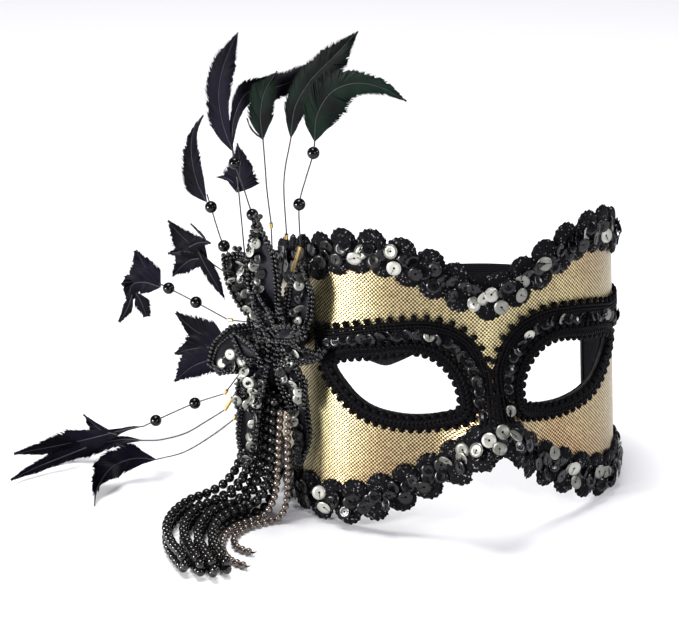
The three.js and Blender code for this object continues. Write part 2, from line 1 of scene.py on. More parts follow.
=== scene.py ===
"""Looks for the gold half mask with a beaded flower, feathers and pearl loops.

Shapes are worked out in millimetres in the mask's own frame (the face's centre line at x = 0, the
table at z = 0) and are moved into the row frame, in metres, when a piece is made.
"""
import math

import bpy
import numpy as np
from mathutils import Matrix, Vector


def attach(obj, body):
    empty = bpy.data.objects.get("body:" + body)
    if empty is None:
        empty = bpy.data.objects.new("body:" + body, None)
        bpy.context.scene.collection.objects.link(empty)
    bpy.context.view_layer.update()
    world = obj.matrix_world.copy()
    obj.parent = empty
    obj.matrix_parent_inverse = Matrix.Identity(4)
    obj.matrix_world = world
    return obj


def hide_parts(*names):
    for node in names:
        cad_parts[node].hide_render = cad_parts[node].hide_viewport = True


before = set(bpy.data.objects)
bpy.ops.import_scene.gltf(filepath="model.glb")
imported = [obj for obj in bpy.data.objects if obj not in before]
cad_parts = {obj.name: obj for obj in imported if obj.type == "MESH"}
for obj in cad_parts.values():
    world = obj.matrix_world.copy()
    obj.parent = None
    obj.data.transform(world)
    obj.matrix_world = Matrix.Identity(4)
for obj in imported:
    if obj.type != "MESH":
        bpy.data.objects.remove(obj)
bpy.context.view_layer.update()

# ---- driving dimensions, in millimetres ----------------------------------------------------------
ORIGIN = np.array([-53.5, 54.8, 0.0])  # the row frame's origin, in the mask's own frame
HALF_WIDTH, FACE_DEPTH, SIDE_RUN = 68.0, 52.0, 28.0
LEAN, TAPER, MID_HEIGHT = math.tan(math.radians(4)), 0.0004, 50.0
NOSE_OUT, NOSE_TOP, NOSE_SOFT, NOSE_SPREAD = 27.0, 52.0, 10.0, 13.0
SHELL_OVERLAP, SHELL_THICK = 4.0, 1.2
LINING_BACK, TAPE_BACK, PATCH_BACK = -2.0, -2.6, -2.5  # how far in each reaches from the face
ROUTE_STEP = 0.25  # between the points of a trim's route
TRIM_HALF = 9.5
NOSE_NARROWING, NOSE_NARROWING_RUN = 3.25, 20.0  # of the bottom trim's half width, over the nose
GIMP_WIDTH, GIMP_THREADS, BROW_THREADS = 6.0, 84, 160
SCALLOP_PITCH, SCALLOP_RADIUS, SCALLOP_RIBS = 11.6, 6.4, 15
SCALLOP_RISE, RIB_RISE = 1.5, 0.2
SEQUIN_RADIUS, SEQUIN_HOLE, SEQUIN_PITCH = 3.0, 0.5, 2.9
SMALL_SEQUIN, PETAL_SEQUIN = 2.4, 2.3  # radii of the sequins over the eyes and on the petals
STITCH_RADIUS = 0.1
SEED_RADIUS = 1.0
PEARL_RADIUS, GREY_RADIUS, BEAD_RADIUS = 2.0, 1.5, 2.5
WIRE_RADIUS, THREAD_RADIUS = 0.3, 0.3
FRAY_RADIUS, FRAY_SPREADS = 0.16, (-1.4, -0.5, 0.4, 1.3)
SOCKET_RADIUS = 0.8
SLEEVE = 2.0  # how much of a wire's brass socket shows, unless the wire says otherwise
PAD_RADIUS, PAD_MIDDLE = 13.0, -5.0
PAD_PROFILE = [  # the flower's pad from front to back: depth, and share of its radius
    (1.4, 0.01), (1.4, 0.93), (0.6, 1.0), (-2, 0.97), (-5, 0.88),
    (-8, 0.78), (-11, 0.68), (-13, 0.6), (-14.4, 0.5), (-14.6, 0.01),
]
BEAD_LOOPS = 13
SHAFT_STEP, QUILL_RADII = 0.25, (0.32, 0.06)  # a quill's radius at its root and at its tip
BARB_PITCH, BARB_RUN, BARB_HALF = 0.3, 7.0, 0.34
PETAL_COLUMNS, PETAL_THICK = 15, 0.5
PICOT_PITCH, PICOT_STEP = 4.7, 0.4
STRAP_HALF_HEIGHT, STRAP_THICK = 6.0, 1.2
WEAVE_PITCH, RIB_PITCH = 1.6, 0.9
PATTERN_UNIT = 100.0  # how many millimetres one unit of a piece's flat pattern is
TAPE_WIDTH = 3.2
PATCH_PLACE, PATCH_HALF, STRAP_ROUTE_HEIGHT = 106.0, 7.5, 65.0

CAMERA_PLACE = (-292.4, -921.4, 497.4)
CAMERA_AIM = (-46.3, 66.4, 76.6)
CAMERA_LENS = 140.0

# Lines on the face: s is the distance round it from its centre line, and z the height.
TOP_LINE = [
    (0, 101.2), (9.5, 104.8), (18.8, 109.2), (28, 114.2), (39.5, 118.2),
    (51, 119.4), (62.5, 117), (72, 112.8), (80.5, 109.6), (94.7, 104.5), (122.7, 94),
]
BOTTOM_LINE = [
    (0, 48.7), (5.9, 45), (11.8, 38.3), (17.7, 32.5), (23.5, 27.3), (31.5, 22.3),
    (40.3, 17.6), (51, 13), (61, 10), (71, 9.5), (94.7, 9.5), (122.7, 9.5),
]
EYE_EDGE = [
    (13.2, 57), (20.9, 53.4), (29.2, 52), (38, 52.2), (47.3, 53.8), (54.1, 57),
    (59.6, 61.5), (64.2, 66), (65.6, 68.4), (60.5, 71.6), (54, 73.6), (45, 75.4),
    (36, 77.7), (30, 78.4), (24.5, 77.2), (19, 73.2), (14.8, 67.2), (13, 61),
]
BROW_LOW = [
    (116, 61), (98, 63), (84, 66), (74, 70.5), (64, 77.8), (55.5, 80), (45.6, 82), (33, 85.2),
    (24.2, 84.2), (16.4, 79.8), (12.3, 75.6), (9.6, 71.6), (7.5, 66.4), (6.9, 63), (6.3, 58), (6.1, 52),
]
BROW_HIGH = [
    (116, 74), (98, 75.5), (84, 77.5), (74, 79), (64.6, 81), (57, 83.4), (47.3, 86.2), (36, 88.5),
    (24.7, 89.4), (15.2, 86.4), (9.4, 81.2), (6.4, 75.4), (4.3, 70), (3.7, 66), (3.6, 59), (3.6, 52),
]
PICOT_LINE = [
    (116, 76.3), (98, 77.6), (84, 79.6), (74.6, 81.1), (64.8, 82.9), (57.4, 85.3), (47.6, 88.1),
    (36, 90.4), (24.6, 91.3), (14.2, 88.4), (7.8, 83.2), (4.4, 77), (2.2, 71), (1.9, 66), (1.9, 52),
]
# A loose edge of the lining in one eye opening.
FLAP_LOW = [(-54, 74.2), (-48.2, 72.4), (-42.4, 71.6), (-37, 73.8), (-30, 77.6)]
FLAP_HIGH = [(-54, 75.5), (-48, 76.8), (-42.4, 78), (-37, 79), (-30, 80)]
NOSE_SEQUINS = [(-3.3, 47), (-0.1, 49.3), (2.8, 47.4), (-6.6, 43.4), (-1.2, 44.2), (25.2, 32.3)]
FLOWER_SIDE_START = 3  # the first point of the brow lines that shows on the flower's side
RING_SEQUIN = (-9.6, -20.4, 15.2)  # in the flower's frame, below

# The flower's own frame: h across it, v up and d out of it.
FLOWER = np.array([-74.0, 45.0, 80.0])
FLOWER_TURN = math.radians(40)
ACROSS = np.array([math.cos(FLOWER_TURN), -math.sin(FLOWER_TURN), 0.0])
OUTWARD = np.array([-math.sin(FLOWER_TURN), -math.cos(FLOWER_TURN), 0.0])
UP = np.array([0.0, 0.0, 1.0])

random = np.random.default_rng(7)  # for the brow's sequins


# ---- curves and the face surface -----------------------------------------------------------------
def unit(vectors):
    return vectors / np.maximum(np.linalg.norm(vectors, axis=-1, keepdims=True), 1e-9)


def smooth(points, count):
    """Points on a smooth curve through the given ones."""
    given = np.asarray(points, float)
    padded = np.vstack([2 * given[0] - given[1], given, 2 * given[-1] - given[-2]])
    where = np.linspace(0, len(given) - 1, count)
    start = np.minimum(where.astype(int), len(given) - 2)
    t = (where - start)[:, None]
    a, b, c, d = (padded[start + k] for k in range(4))
    pairs = ((a, b), (b, c), (c, d))
    ab, bc, cd = (np.sqrt(np.linalg.norm(q - p, axis=1, keepdims=True)) for p, q in pairs)
    leave = ((b - a) / ab - (c - a) / (ab + bc) + (c - b) / bc) * bc
    arrive = ((c - b) / bc - (d - b) / (bc + cd) + (d - c) / cd) * bc
    keep = 2 * t**3 - 3 * t**2 + 1
    return keep * b + (t**3 - 2 * t**2 + t) * leave + (1 - keep) * c + (t**3 - t**2) * arrive


def evenly(points, step):
    """The same line with points an equal distance apart, about the given step."""
    points = np.asarray(points, float)
    run = np.concatenate([[0], np.cumsum(np.linalg.norm(np.diff(points, axis=0), axis=1))])
    count = max(2, round(run[-1] / step) + 1)
    at = np.linspace(0, run[-1], count)
    return np.stack([np.interp(at, run, axis) for axis in points.T], axis=1)


def directions(points):
    return unit(np.gradient(np.asarray(points, float), axis=0))


OVAL_TURNS = np.linspace(0, math.pi / 2, 400)
OVAL_MIDDLES = (OVAL_TURNS[1:] + OVAL_TURNS[:-1]) / 2
OVAL_SPEED = np.hypot(HALF_WIDTH * np.cos(OVAL_MIDDLES), FACE_DEPTH * np.sin(OVAL_MIDDLES))
OVAL_RUN = np.concatenate([[0], np.cumsum(OVAL_SPEED * np.diff(OVAL_TURNS))])
QUARTER = OVAL_RUN[-1]
SIDE_END = QUARTER + SIDE_RUN


def skin(s, z):
    """Points of the face surface at distance s round it from the centre line and height z."""
    run = np.abs(s)
    turn = np.interp(run, OVAL_RUN, OVAL_TURNS)
    x = np.sign(s) * HALF_WIDTH * (1 - TAPER * (z - MID_HEIGHT)) * np.sin(turn)
    back = FACE_DEPTH * (1 - np.cos(turn)) + np.maximum(0, run - QUARTER)
    bridge = NOSE_OUT / (1 + np.exp((z - NOSE_TOP) / NOSE_SOFT))
    return np.stack([x, back + z * LEAN - bridge * np.exp(-((x / NOSE_SPREAD) ** 2)), z], axis=-1)


def face_axes(s, z):
    """Directions round the face, up it and out of it."""
    reach = 0.5
    around = unit(skin(s + reach, z) - skin(s - reach, z))
    upward = unit(skin(s, z + reach) - skin(s, z - reach))
    return around, upward, unit(np.cross(around, upward))


def skin_out(s, z, out):
    """Points the given distance outside the face surface."""
    s, z, out = np.broadcast_arrays(np.asarray(s, float), z, out)
    return skin(s, z) + face_axes(s, z)[2] * out[..., None]


def face_places(spots, out):
    """Points the given distance outside the face at (s, z) spots, and the face's axes at each."""
    s, z = np.asarray(spots, float).T
    return skin_out(s, z, out), np.stack(face_axes(s, z), 1)


def height_at(line, s):
    """Smooth height of a line given as (s, z) points, the same on both sides of the face."""
    at, height = np.array(line, float).T
    slope = np.zeros(len(at))
    slope[1:-1] = (height[2:] - height[:-2]) / (at[2:] - at[:-2])
    run = np.abs(s)
    i = np.clip(np.searchsorted(at, run) - 1, 0, len(at) - 2)
    span = at[i + 1] - at[i]
    t = np.minimum(1, (run - at[i]) / span)
    rise, a, b = height[i + 1] - height[i], slope[i] * span, slope[i + 1] * span
    return height[i] + a * t + (3 * rise - 2 * a - b) * t**2 + (a + b - 2 * rise) * t**3


def flower_point(place):
    """Places given in the flower's frame, in the mask's own frame."""
    h, v, d = np.moveaxis(np.asarray(place, float), -1, 0)
    return FLOWER + h[..., None] * ACROSS + d[..., None] * OUTWARD + v[..., None] * UP


# ---- shapes --------------------------------------------------------------------------------------
def grid_faces(rows, columns, wrap=False):
    """Triangles of a grid of points, its last column joined to its first if it wraps."""
    r, c = np.meshgrid(np.arange(rows - 1), np.arange(columns if wrap else columns - 1), indexing="ij")
    right = (c + 1) % columns
    a, b = r * columns + c, r * columns + right
    d, e = a + columns, (r + 1) * columns + right
    halves = [np.stack(corners, -1).reshape(-1, 3) for corners in ([a, b, e], [a, e, d])]
    return np.concatenate(halves)


def ball(segments, rings):
    """A unit ball with a small opening at each pole, where its thread goes in."""
    down = np.linspace(0.16, math.pi - 0.16, rings)[:, None]
    round_it = np.linspace(0, 2 * math.pi, segments, endpoint=False)[None, :]
    points = np.stack([
        np.sin(down) * np.cos(round_it),
        np.sin(down) * np.sin(round_it),
        np.cos(down) * np.ones_like(round_it),
    ], -1)
    return points.reshape(-1, 3), grid_faces(rings, segments, wrap=True)[:, ::-1]


def disc(segments=20):
    """A cupped sequin of unit radius with a hole, seen along Z."""
    hole = SEQUIN_HOLE / SEQUIN_RADIUS
    front = [(hole, 0.03), (0.55, 0.05), (1, 0.13)]
    back = [(1, 0.09), (0.55, 0.01), (hole, -0.01), (hole, 0.03)]
    profile = front + back
    turn = np.linspace(0, 2 * math.pi, segments, endpoint=False)
    points = [[(r * math.cos(t), r * math.sin(t), h) for t in turn] for r, h in profile]
    return np.array(points).reshape(-1, 3), grid_faces(len(profile), segments, wrap=True)[:, ::-1]


PEARL_SHAPE = ball(16, 11)
SEED_SHAPE = ball(10, 7)
GLOSSY_BEAD_SHAPE = ball(40, 26)
STRAND_SHAPE = ball(8, 6)
SEQUIN_SHAPE = disc()


class Shape:
    """Triangles in millimetres that become one piece, each with the number of its material."""

    def __init__(self):
        self.points, self.faces, self.kinds, self.pattern = [], [], [], []
        self.count = 0

    def add(self, points, faces, kind=0, pattern=None):
        points = np.asarray(points, float).reshape(-1, 3)
        self.points.append(points)
        self.faces.append(np.asarray(faces) + self.count)
        self.kinds.append(np.full(len(faces), kind))
        self.pattern.append(np.zeros((len(points), 2)) if pattern is None else np.asarray(pattern))
        self.count += len(points)

    def add_copies(self, template, places, axes, scales, kind=0):
        """A copy of the template at each place, turned to axes (n, 3, 3) and scaled.

        scales is one number, one for each axis, or one for each axis of each place.
        """
        points, faces = template
        places = np.asarray(places, float)
        scales = np.broadcast_to(scales, (len(places), 3))
        moved = places[:, None] + np.einsum("nkj,njd->nkd", points[None] * scales[:, None], axes)
        shifts = np.arange(len(places))[:, None, None] * len(points)
        self.add(moved, (faces[None] + shifts).reshape(-1, 3), kind)

    def piece(self, name, body, slot, materials, replaced=()):
        points = (np.concatenate(self.points) - ORIGIN) / 1000
        faces = np.concatenate(self.faces)
        mesh = bpy.data.meshes.new(name)
        mesh.from_pydata(points.tolist(), [], faces.tolist())
        for material in materials:
            mesh.materials.append(material)
        mesh.polygons.foreach_set("material_index", np.concatenate(self.kinds).astype(np.int32))
        mesh.shade_smooth()
        pattern = np.concatenate(self.pattern)[faces.ravel()] / PATTERN_UNIT
        mesh.uv_layers.new(name="pattern").data.foreach_set("uv", pattern.astype(np.float32).ravel())
        mesh.update()
        made = bpy.data.objects.new(name, mesh)
        bpy.context.scene.collection.objects.link(made)
        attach(made, body)
        if replaced:
            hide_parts(*replaced)
        return made


def thread_axes(points):
    """Axes whose third runs along the line, as a ball's hole does."""
    along = directions(points)
    helper = np.where(np.abs(along[:, 2:]) < 0.9, UP, ACROSS)
    side = unit(np.cross(helper, along))
    return np.stack([side, np.cross(along, side), along], axis=1)


def turned(axes, tilt, seed):
    """The same axes, each tipped by a random small angle and spun about its own third axis."""
    chance = np.random.default_rng(seed)
    made = []
    for frame_axes in axes:
        spin = chance.uniform(0, 2 * math.pi)
        lean_u, lean_v = chance.normal(0, tilt, 2)
        normal = unit(frame_axes[2] + lean_u * frame_axes[0] + lean_v * frame_axes[1])
        side = unit(np.cross(frame_axes[1], normal))
        rest = np.cross(normal, side)
        first = math.cos(spin) * side + math.sin(spin) * rest
        made.append([first, np.cross(normal, first), normal])
    return np.array(made)


def add_tube(shape, points, radii, sides=10, kind=0):
    """A round tube along a line, with a radius for each point and open ends."""
    axes = thread_axes(points)
    for i in range(1, len(axes)):  # carry the first side along, so that the tube doesn't twist
        side = axes[i - 1, 0] - axes[i, 2] * (axes[i - 1, 0] @ axes[i, 2])
        axes[i, 0] = unit(side)
        axes[i, 1] = np.cross(axes[i, 2], axes[i, 0])
    turn = np.linspace(0, 2 * math.pi, sides, endpoint=False)
    cosine, sine = (wave(turn)[None, :, None] for wave in (np.cos, np.sin))
    ring = cosine * axes[:, None, 0] + sine * axes[:, None, 1]
    radii = np.broadcast_to(radii, len(points))[:, None, None]
    shape.add(np.asarray(points)[:, None] + radii * ring, grid_faces(len(points), sides, wrap=True), kind)


# ---- materials -----------------------------------------------------------------------------------
class Paint:
    """A material with a few short ways to add nodes."""

    def __init__(self, name, color, roughness, metallic=0.0, **fixed):
        self.material = bpy.data.materials.new(name)
        self.material.use_nodes = True
        self.nodes = self.material.node_tree.nodes
        self.links = self.material.node_tree.links
        self.shader = self.nodes["Principled BSDF"]
        self.set("Base Color", (*color, 1))
        self.set("Roughness", roughness)
        self.set("Metallic", metallic)
        for socket, value in fixed.items():
            self.set(socket.replace("_", " "), value)

    def set(self, socket, value):
        self.shader.inputs[socket].default_value = value

    def node(self, kind, settings=None, **inputs):
        made = self.nodes.new(kind)
        for key, value in (settings or {}).items():
            setattr(made, key, value)
        for key, value in inputs.items():
            self.feed(made.inputs[key.replace("_", " ")], value)
        return made

    def feed(self, socket, value):
        if isinstance(value, bpy.types.NodeSocket):
            self.links.new(value, socket)
        else:
            socket.default_value = value

    def place(self):
        return self.node("ShaderNodeTexCoord").outputs["Object"]

    def pattern(self):
        """The two co-ordinates of the piece's own flat pattern."""
        uv = self.node("ShaderNodeUVMap", {"uv_map": "pattern"}).outputs["UV"]
        return self.node("ShaderNodeSeparateXYZ", Vector=uv).outputs

    def noise(self, scale, detail=3.0):
        made = self.node("ShaderNodeTexNoise", Vector=self.place(), Scale=scale, Detail=detail)
        return made.outputs["Fac"]

    def cells(self, scale, output="Distance"):
        return self.node("ShaderNodeTexVoronoi", Vector=self.place(), Scale=scale).outputs[output]

    def maths(self, operation, *values):
        made = self.node("ShaderNodeMath", {"operation": operation})
        for socket, value in zip(made.inputs, values):
            self.feed(socket, value)
        return made.outputs[0]

    def ramp(self, value, stops):
        made = self.node("ShaderNodeValToRGB", Fac=value)
        elements = made.color_ramp.elements
        while len(elements) < len(stops):
            elements.new(1)
        for element, (at, color) in zip(elements, stops):
            element.position = at
            element.color = (*color, 1)
        return made.outputs["Color"]

    def color(self, socket):
        self.links.new(socket, self.shader.inputs["Base Color"])

    def shades(self, value, dark, light, low=0.3, high=0.8):
        """Colour that goes from dark to light while the value rises from low to high."""
        self.color(self.ramp(value, [(low, dark), (high, light)]))

    def rough(self, socket):
        self.links.new(socket, self.shader.inputs["Roughness"])

    def bump(self, height, strength, distance):
        made = self.node("ShaderNodeBump", Height=height, Strength=strength, Distance=distance)
        self.links.new(made.outputs["Normal"], self.shader.inputs["Normal"])


def gold_lame():
    """Metallic cloth: gold threads in a fine diagonal weave, with dark gaps and bronze patches."""
    paint = Paint("gold_lame", (0.5, 0.4, 0.2), 0.3, 0.9, Anisotropic=0.8, Anisotropic_Rotation=0.25)
    parts = paint.pattern()
    turns = 2 * math.pi * PATTERN_UNIT / WEAVE_PITCH
    around, upward = (paint.maths("SINE", paint.maths("MULTIPLY", parts[axis], turns)) for axis in "XY")
    woven = paint.maths("MULTIPLY_ADD", paint.maths("MULTIPLY", around, upward), 0.5, 0.5)
    uneven = paint.maths("MULTIPLY_ADD", paint.noise(700.0, 2.0), 0.5, -0.25)
    height = paint.maths("ADD", woven, uneven)
    gold = paint.ramp(height, [
        (0.3, (0.06, 0.04, 0.018)), (0.5, (0.32, 0.25, 0.11)), (0.75, (0.72, 0.66, 0.4)),
    ])
    bronze = paint.ramp(height, [
        (0.3, (0.04, 0.02, 0.01)), (0.5, (0.24, 0.15, 0.07)), (0.8, (0.6, 0.44, 0.26)),
    ])
    patches = paint.maths("MULTIPLY_ADD", paint.noise(16.0, 2.0), 3.0, -1.1)
    mixed = paint.node("ShaderNodeMix", {"data_type": "RGBA", "clamp_factor": True})
    for socket, value in ((mixed.inputs[0], patches), (mixed.inputs[6], gold), (mixed.inputs[7], bronze)):
        paint.feed(socket, value)
    paint.color(mixed.outputs[2])
    paint.bump(woven, 0.5, 0.0003)
    return paint.material


def glitter_cord():
    """Black metallic cord: tiny facets, a few of them painted light grey as painted glints."""
    paint = Paint("glitter_cord", (0.01, 0.01, 0.012), 0.45, 0.0, Specular_IOR_Level=0.04)
    facets = paint.cells(1900.0, "Color")
    # Painted glints: the few brightest facets are painted light grey.
    paint.color(paint.ramp(facets, [
        (0.0, (0.002, 0.002, 0.003)), (0.82, (0.004, 0.004, 0.005)), (0.95, (0.24, 0.23, 0.24)),
    ]))
    paint.bump(paint.cells(1300.0), 0.9, 0.0004)
    return paint.material


def sequin(name, color, roughness, metallic):
    """A thin plastic sequin, not quite flat."""
    paint = Paint(name, color, roughness, metallic, Specular_IOR_Level=0.3)
    paint.rough(paint.maths("MULTIPLY_ADD", paint.noise(300.0), 0.2, roughness - 0.1))
    paint.bump(paint.noise(450.0, 1.0), 0.15, 0.0003)
    return paint.material


def black_braid():
    """Twisted rayon thread with fine ridges."""
    paint = Paint("black_braid", (0.007, 0.006, 0.008), 0.42, Specular_IOR_Level=0.03)
    threads = paint.noise(1500.0, 2.0)
    paint.shades(threads, (0.001, 0.001, 0.001), (0.005, 0.0045, 0.006))
    paint.bump(threads, 0.6, 0.0003)
    return paint.material


def petal_satin():
    """Black satin with a slight sheen and a fine grain."""
    paint = Paint("petal_satin", (0.006, 0.005, 0.009), 0.45, Specular_IOR_Level=0.12)
    paint.shades(paint.noise(120.0), (0.002, 0.002, 0.004), (0.008, 0.007, 0.012))
    paint.bump(paint.noise(900.0, 1.0), 0.3, 0.0003)
    return paint.material


def felt():
    """Matt black felt with loose fibres."""
    paint = Paint("felt", (0.012, 0.012, 0.014), 0.95, Specular_IOR_Level=0.05)
    fibres = paint.noise(1400.0, 6.0)
    paint.shades(fibres, (0.003, 0.003, 0.004), (0.017, 0.016, 0.018))
    paint.bump(fibres, 0.7, 0.0004)
    return paint.material


def board():
    """Dark pressed board, rough where it shows at an edge."""
    paint = Paint("board", (0.03, 0.028, 0.028), 0.85, Specular_IOR_Level=0.15)
    paint.shades(paint.noise(260.0, 4.0), (0.012, 0.011, 0.011), (0.05, 0.047, 0.045))
    paint.bump(paint.noise(700.0, 3.0), 0.4, 0.0003)
    return paint.material


def elastic():
    """Woven elastic: close ribs along the band."""
    paint = Paint("elastic", (0.012, 0.011, 0.014), 0.8, Specular_IOR_Level=0.06)
    across = paint.pattern()["Y"]
    ribs = paint.maths("SINE", paint.maths("MULTIPLY", across, 2 * math.pi * PATTERN_UNIT / RIB_PITCH))
    paint.shades(ribs, (0.003, 0.003, 0.004), (0.018, 0.016, 0.02), 0.2, 0.9)
    paint.bump(ribs, 0.6, 0.0004)
    return paint.material


def glossy(name, color, roughness, metallic=0.0, specular=0.28):
    """A lacquered bead or pearl with a very slightly uneven coat."""
    paint = Paint(name, color, roughness, metallic, Specular_IOR_Level=specular)
    dark, light = (tuple(share * c for c in color) for share in (0.7, 1.2))
    paint.shades(paint.noise(220.0), dark, light, 0.35, 0.7)
    paint.bump(paint.noise(500.0, 1.0), 0.06, 0.0003)
    return paint.material


def metal(name, color, roughness):
    """Drawn metal with small scratches."""
    paint = Paint(name, color, roughness, 1.0)
    paint.rough(paint.maths("MULTIPLY_ADD", paint.noise(800.0), 0.25, roughness - 0.1))
    paint.bump(paint.noise(1200.0, 2.0), 0.2, 0.0002)
    return paint.material


def feather(name, dark, light):
    """Silky barbs that go from one colour to the other along the vane: the dark one is their own, the light
    one a painted iridescent sheen mixed in by noise.
    """
    paint = Paint(name, dark, 0.42, Specular_IOR_Level=0.04)
    paint.shades(paint.noise(60.0), dark, light, 0.35, 0.7)
    paint.rough(paint.maths("MULTIPLY_ADD", paint.noise(900.0), 0.3, 0.28))
    return paint.material


def quill():
    """The smooth dark shaft of a feather."""
    paint = Paint("quill", (0.03, 0.026, 0.04), 0.4, Specular_IOR_Level=0.2)
    paint.shades(paint.noise(300.0), (0.01, 0.009, 0.014), (0.035, 0.03, 0.045))
    return paint.material


GOLD, GLITTER, BRAID, SATIN, FELT, BOARD, ELASTIC = (
    gold_lame(), glitter_cord(), black_braid(), petal_satin(), felt(), board(), elastic())
SEQUINS = [
    sequin("sequin_dark", (0.002, 0.002, 0.003), 0.22, 0.0),
    sequin("sequin_smoke", (0.014, 0.014, 0.014), 0.26, 0.4),
    # Painted reflections: the grey and bright sequins are lighter copies of the dark one, standing for
    # sequins that catch the light.
    sequin("sequin_grey_painted_reflection", (0.2, 0.2, 0.18), 0.36, 0.6),
    sequin("sequin_bright_painted_reflection", (0.42, 0.42, 0.38), 0.34, 0.5),
]
# How many of the sequins get each shade, from dark to bright; the grey and bright ones are painted
# reflections of sequins that catch the light.
PETAL_SHARES = [0.42, 0.22, 0.26, 0.1]
BROW_SHARES = [0.8, 0.1, 0.06, 0.04]
SEQUIN_SHARES = [0.54, 0.22, 0.17, 0.07]
NOSE_SHARES = [0, 0.1, 0.6, 0.3]
BLACK_BEAD = glossy("black_bead", (0.0015, 0.0015, 0.002), 0.1)
SEED_BEAD = glossy("seed_bead", (0.002, 0.002, 0.0025), 0.13, 0.0, 0.45)
BLACK_PEARL = glossy("black_pearl", (0.004, 0.0035, 0.003), 0.14, 0.0, 0.45)
GREY_PEARL = glossy("grey_pearl", (0.2, 0.165, 0.145), 0.17, 0.8, 0.6)
WIRE = metal("wire", (0.05, 0.045, 0.048), 0.45)
BRASS = metal("brass", (0.72, 0.5, 0.2), 0.3)
# The light colour of each feather is a painted sheen: violet on the dark feathers, green on the green ones.
DARK_FEATHER = feather("dark_feather", (0.001, 0.001, 0.002), (0.004, 0.003, 0.009))
GREEN_FEATHER = feather("green_feather", (0.001, 0.0015, 0.0015), (0.004, 0.013, 0.008))
QUILL = quill()


# ---- cloth and board layers ----------------------------------------------------------------------
def eye_outline(grow=0.0, samples=240):
    """The edge of the eye opening on the positive side, moved outwards by a distance on the face."""
    closed = np.array(EYE_EDGE[-3:] + EYE_EDGE + EYE_EDGE[:4], float)
    fine = smooth(closed, 60 * len(closed))
    first = np.argmin(np.hypot(*(fine[:1200] - EYE_EDGE[0]).T))
    last = len(fine) - 1200 + np.argmin(np.hypot(*(fine[-1200:] - EYE_EDGE[0]).T))
    loop = evenly(fine[first:last + 1], 0.2)
    along = directions(loop)
    moved = loop + grow * np.stack([along[:, 1], -along[:, 0]], 1)
    step = np.linalg.norm(np.diff(moved, axis=0), axis=1).sum() / samples
    return evenly(moved, step)[:-1]


def inside_outline(outline, s, z):
    """Whether each point is inside the closed outline."""
    a, b = outline, np.roll(outline, -1, axis=0)
    crosses = (a[:, 1] > z[:, None]) != (b[:, 1] > z[:, None])
    rise = np.where(b[:, 1] == a[:, 1], 1e-9, b[:, 1] - a[:, 1])
    at = a[:, 0] + (z[:, None] - a[:, 1]) / rise * (b[:, 0] - a[:, 0])
    return (crosses & (s[:, None] < at)).sum(1) % 2 == 1


def face_layer(inner, outer, inset, step, grow=0.0):
    """A layer of the face between two distances from its surface, with the eye openings cut out.

    The layer ends inset inside the shell's edges. Each opening's edge is drawn onto the eye's outline,
    moved outwards by grow.
    """
    columns = np.linspace(-SIDE_END, SIDE_END, round(2 * SIDE_END / step) + 1)
    low = height_at(BOTTOM_LINE, columns) - SHELL_OVERLAP + inset
    high = height_at(TOP_LINE, columns) + SHELL_OVERLAP - inset
    share = np.linspace(0, 1, round(100 / step) + 1)[:, None]
    z = (low + share * (high - low)).ravel()
    s = np.broadcast_to(columns, (len(share), len(columns))).ravel().copy()
    faces = grid_faces(len(share), len(columns))
    outline = eye_outline(grow)
    run = np.abs(s)
    gone = inside_outline(outline, run[faces].mean(1), z[faces].mean(1))
    edge = np.intersect1d(faces[gone], faces[~gone])
    nearest = np.argmin(np.hypot(run[edge, None] - outline[:, 0], z[edge, None] - outline[:, 1]), axis=1)
    s[edge] = np.sign(s[edge]) * outline[nearest, 0]
    z[edge] = outline[nearest, 1]
    faces = faces[~gone]
    sides = np.concatenate([faces[:, [0, 1]], faces[:, [1, 2]], faces[:, [2, 0]]])
    _, first, uses = np.unique(np.sort(sides, axis=1), axis=0, return_index=True, return_counts=True)
    a, b = sides[first[uses == 1]].T
    below = len(s)
    rim = np.concatenate([np.stack([b, a, a + below], 1), np.stack([b, a + below, b + below], 1)])
    points = np.concatenate([skin_out(s, z, outer), skin_out(s, z, inner)])
    shape = Shape()
    pattern = np.tile(np.stack([s, z], 1), (2, 1))
    shape.add(points, np.concatenate([faces, faces[:, ::-1] + below, rim]), 0, pattern)
    return shape


def make_face():
    """Pressed board with gold cloth over it and a felt lining inside it."""
    shell = face_layer(-SHELL_THICK, 0.0, 0.0, 1.6)
    shell.piece("shell_board", "mask", "shell_board", [BOARD], ["mask_shell"])
    cover = face_layer(0.3, 0.7, 0.0, 1.2, grow=1.6)
    lining = face_layer(LINING_BACK, -1.5, 1.0, 1.6)
    for cloth in (
        cover.piece("gold_cloth", "mask", "gold_lame", [GOLD], ["gold_cover"]),
        lining.piece("felt_lining", "mask", "black_felt", [FELT], ["inner_lining"]),
    ):
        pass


# ---- sequin trims --------------------------------------------------------------------------------
def trim_route(line, low, high):
    """A line of the face from s = low to high as evenly spaced (s, z) points."""
    s = np.linspace(low, high, 1200)
    return evenly(np.stack([s, height_at(line, s)], 1), ROUTE_STEP)


def along_route(route, pitch, start=0.5):
    """Places on the route a pitch apart, with the directions along it and across it, in (s, z)."""
    length = ROUTE_STEP * (len(route) - 1)
    count = max(1, round(length / pitch))
    index = ((np.arange(count) + start) / count * (len(route) - 1)).astype(int)
    index = np.clip(index, 0, len(route) - 1)
    along = directions(route)[index]
    return route[index], along, np.stack([-along[:, 1], along[:, 0]], 1)


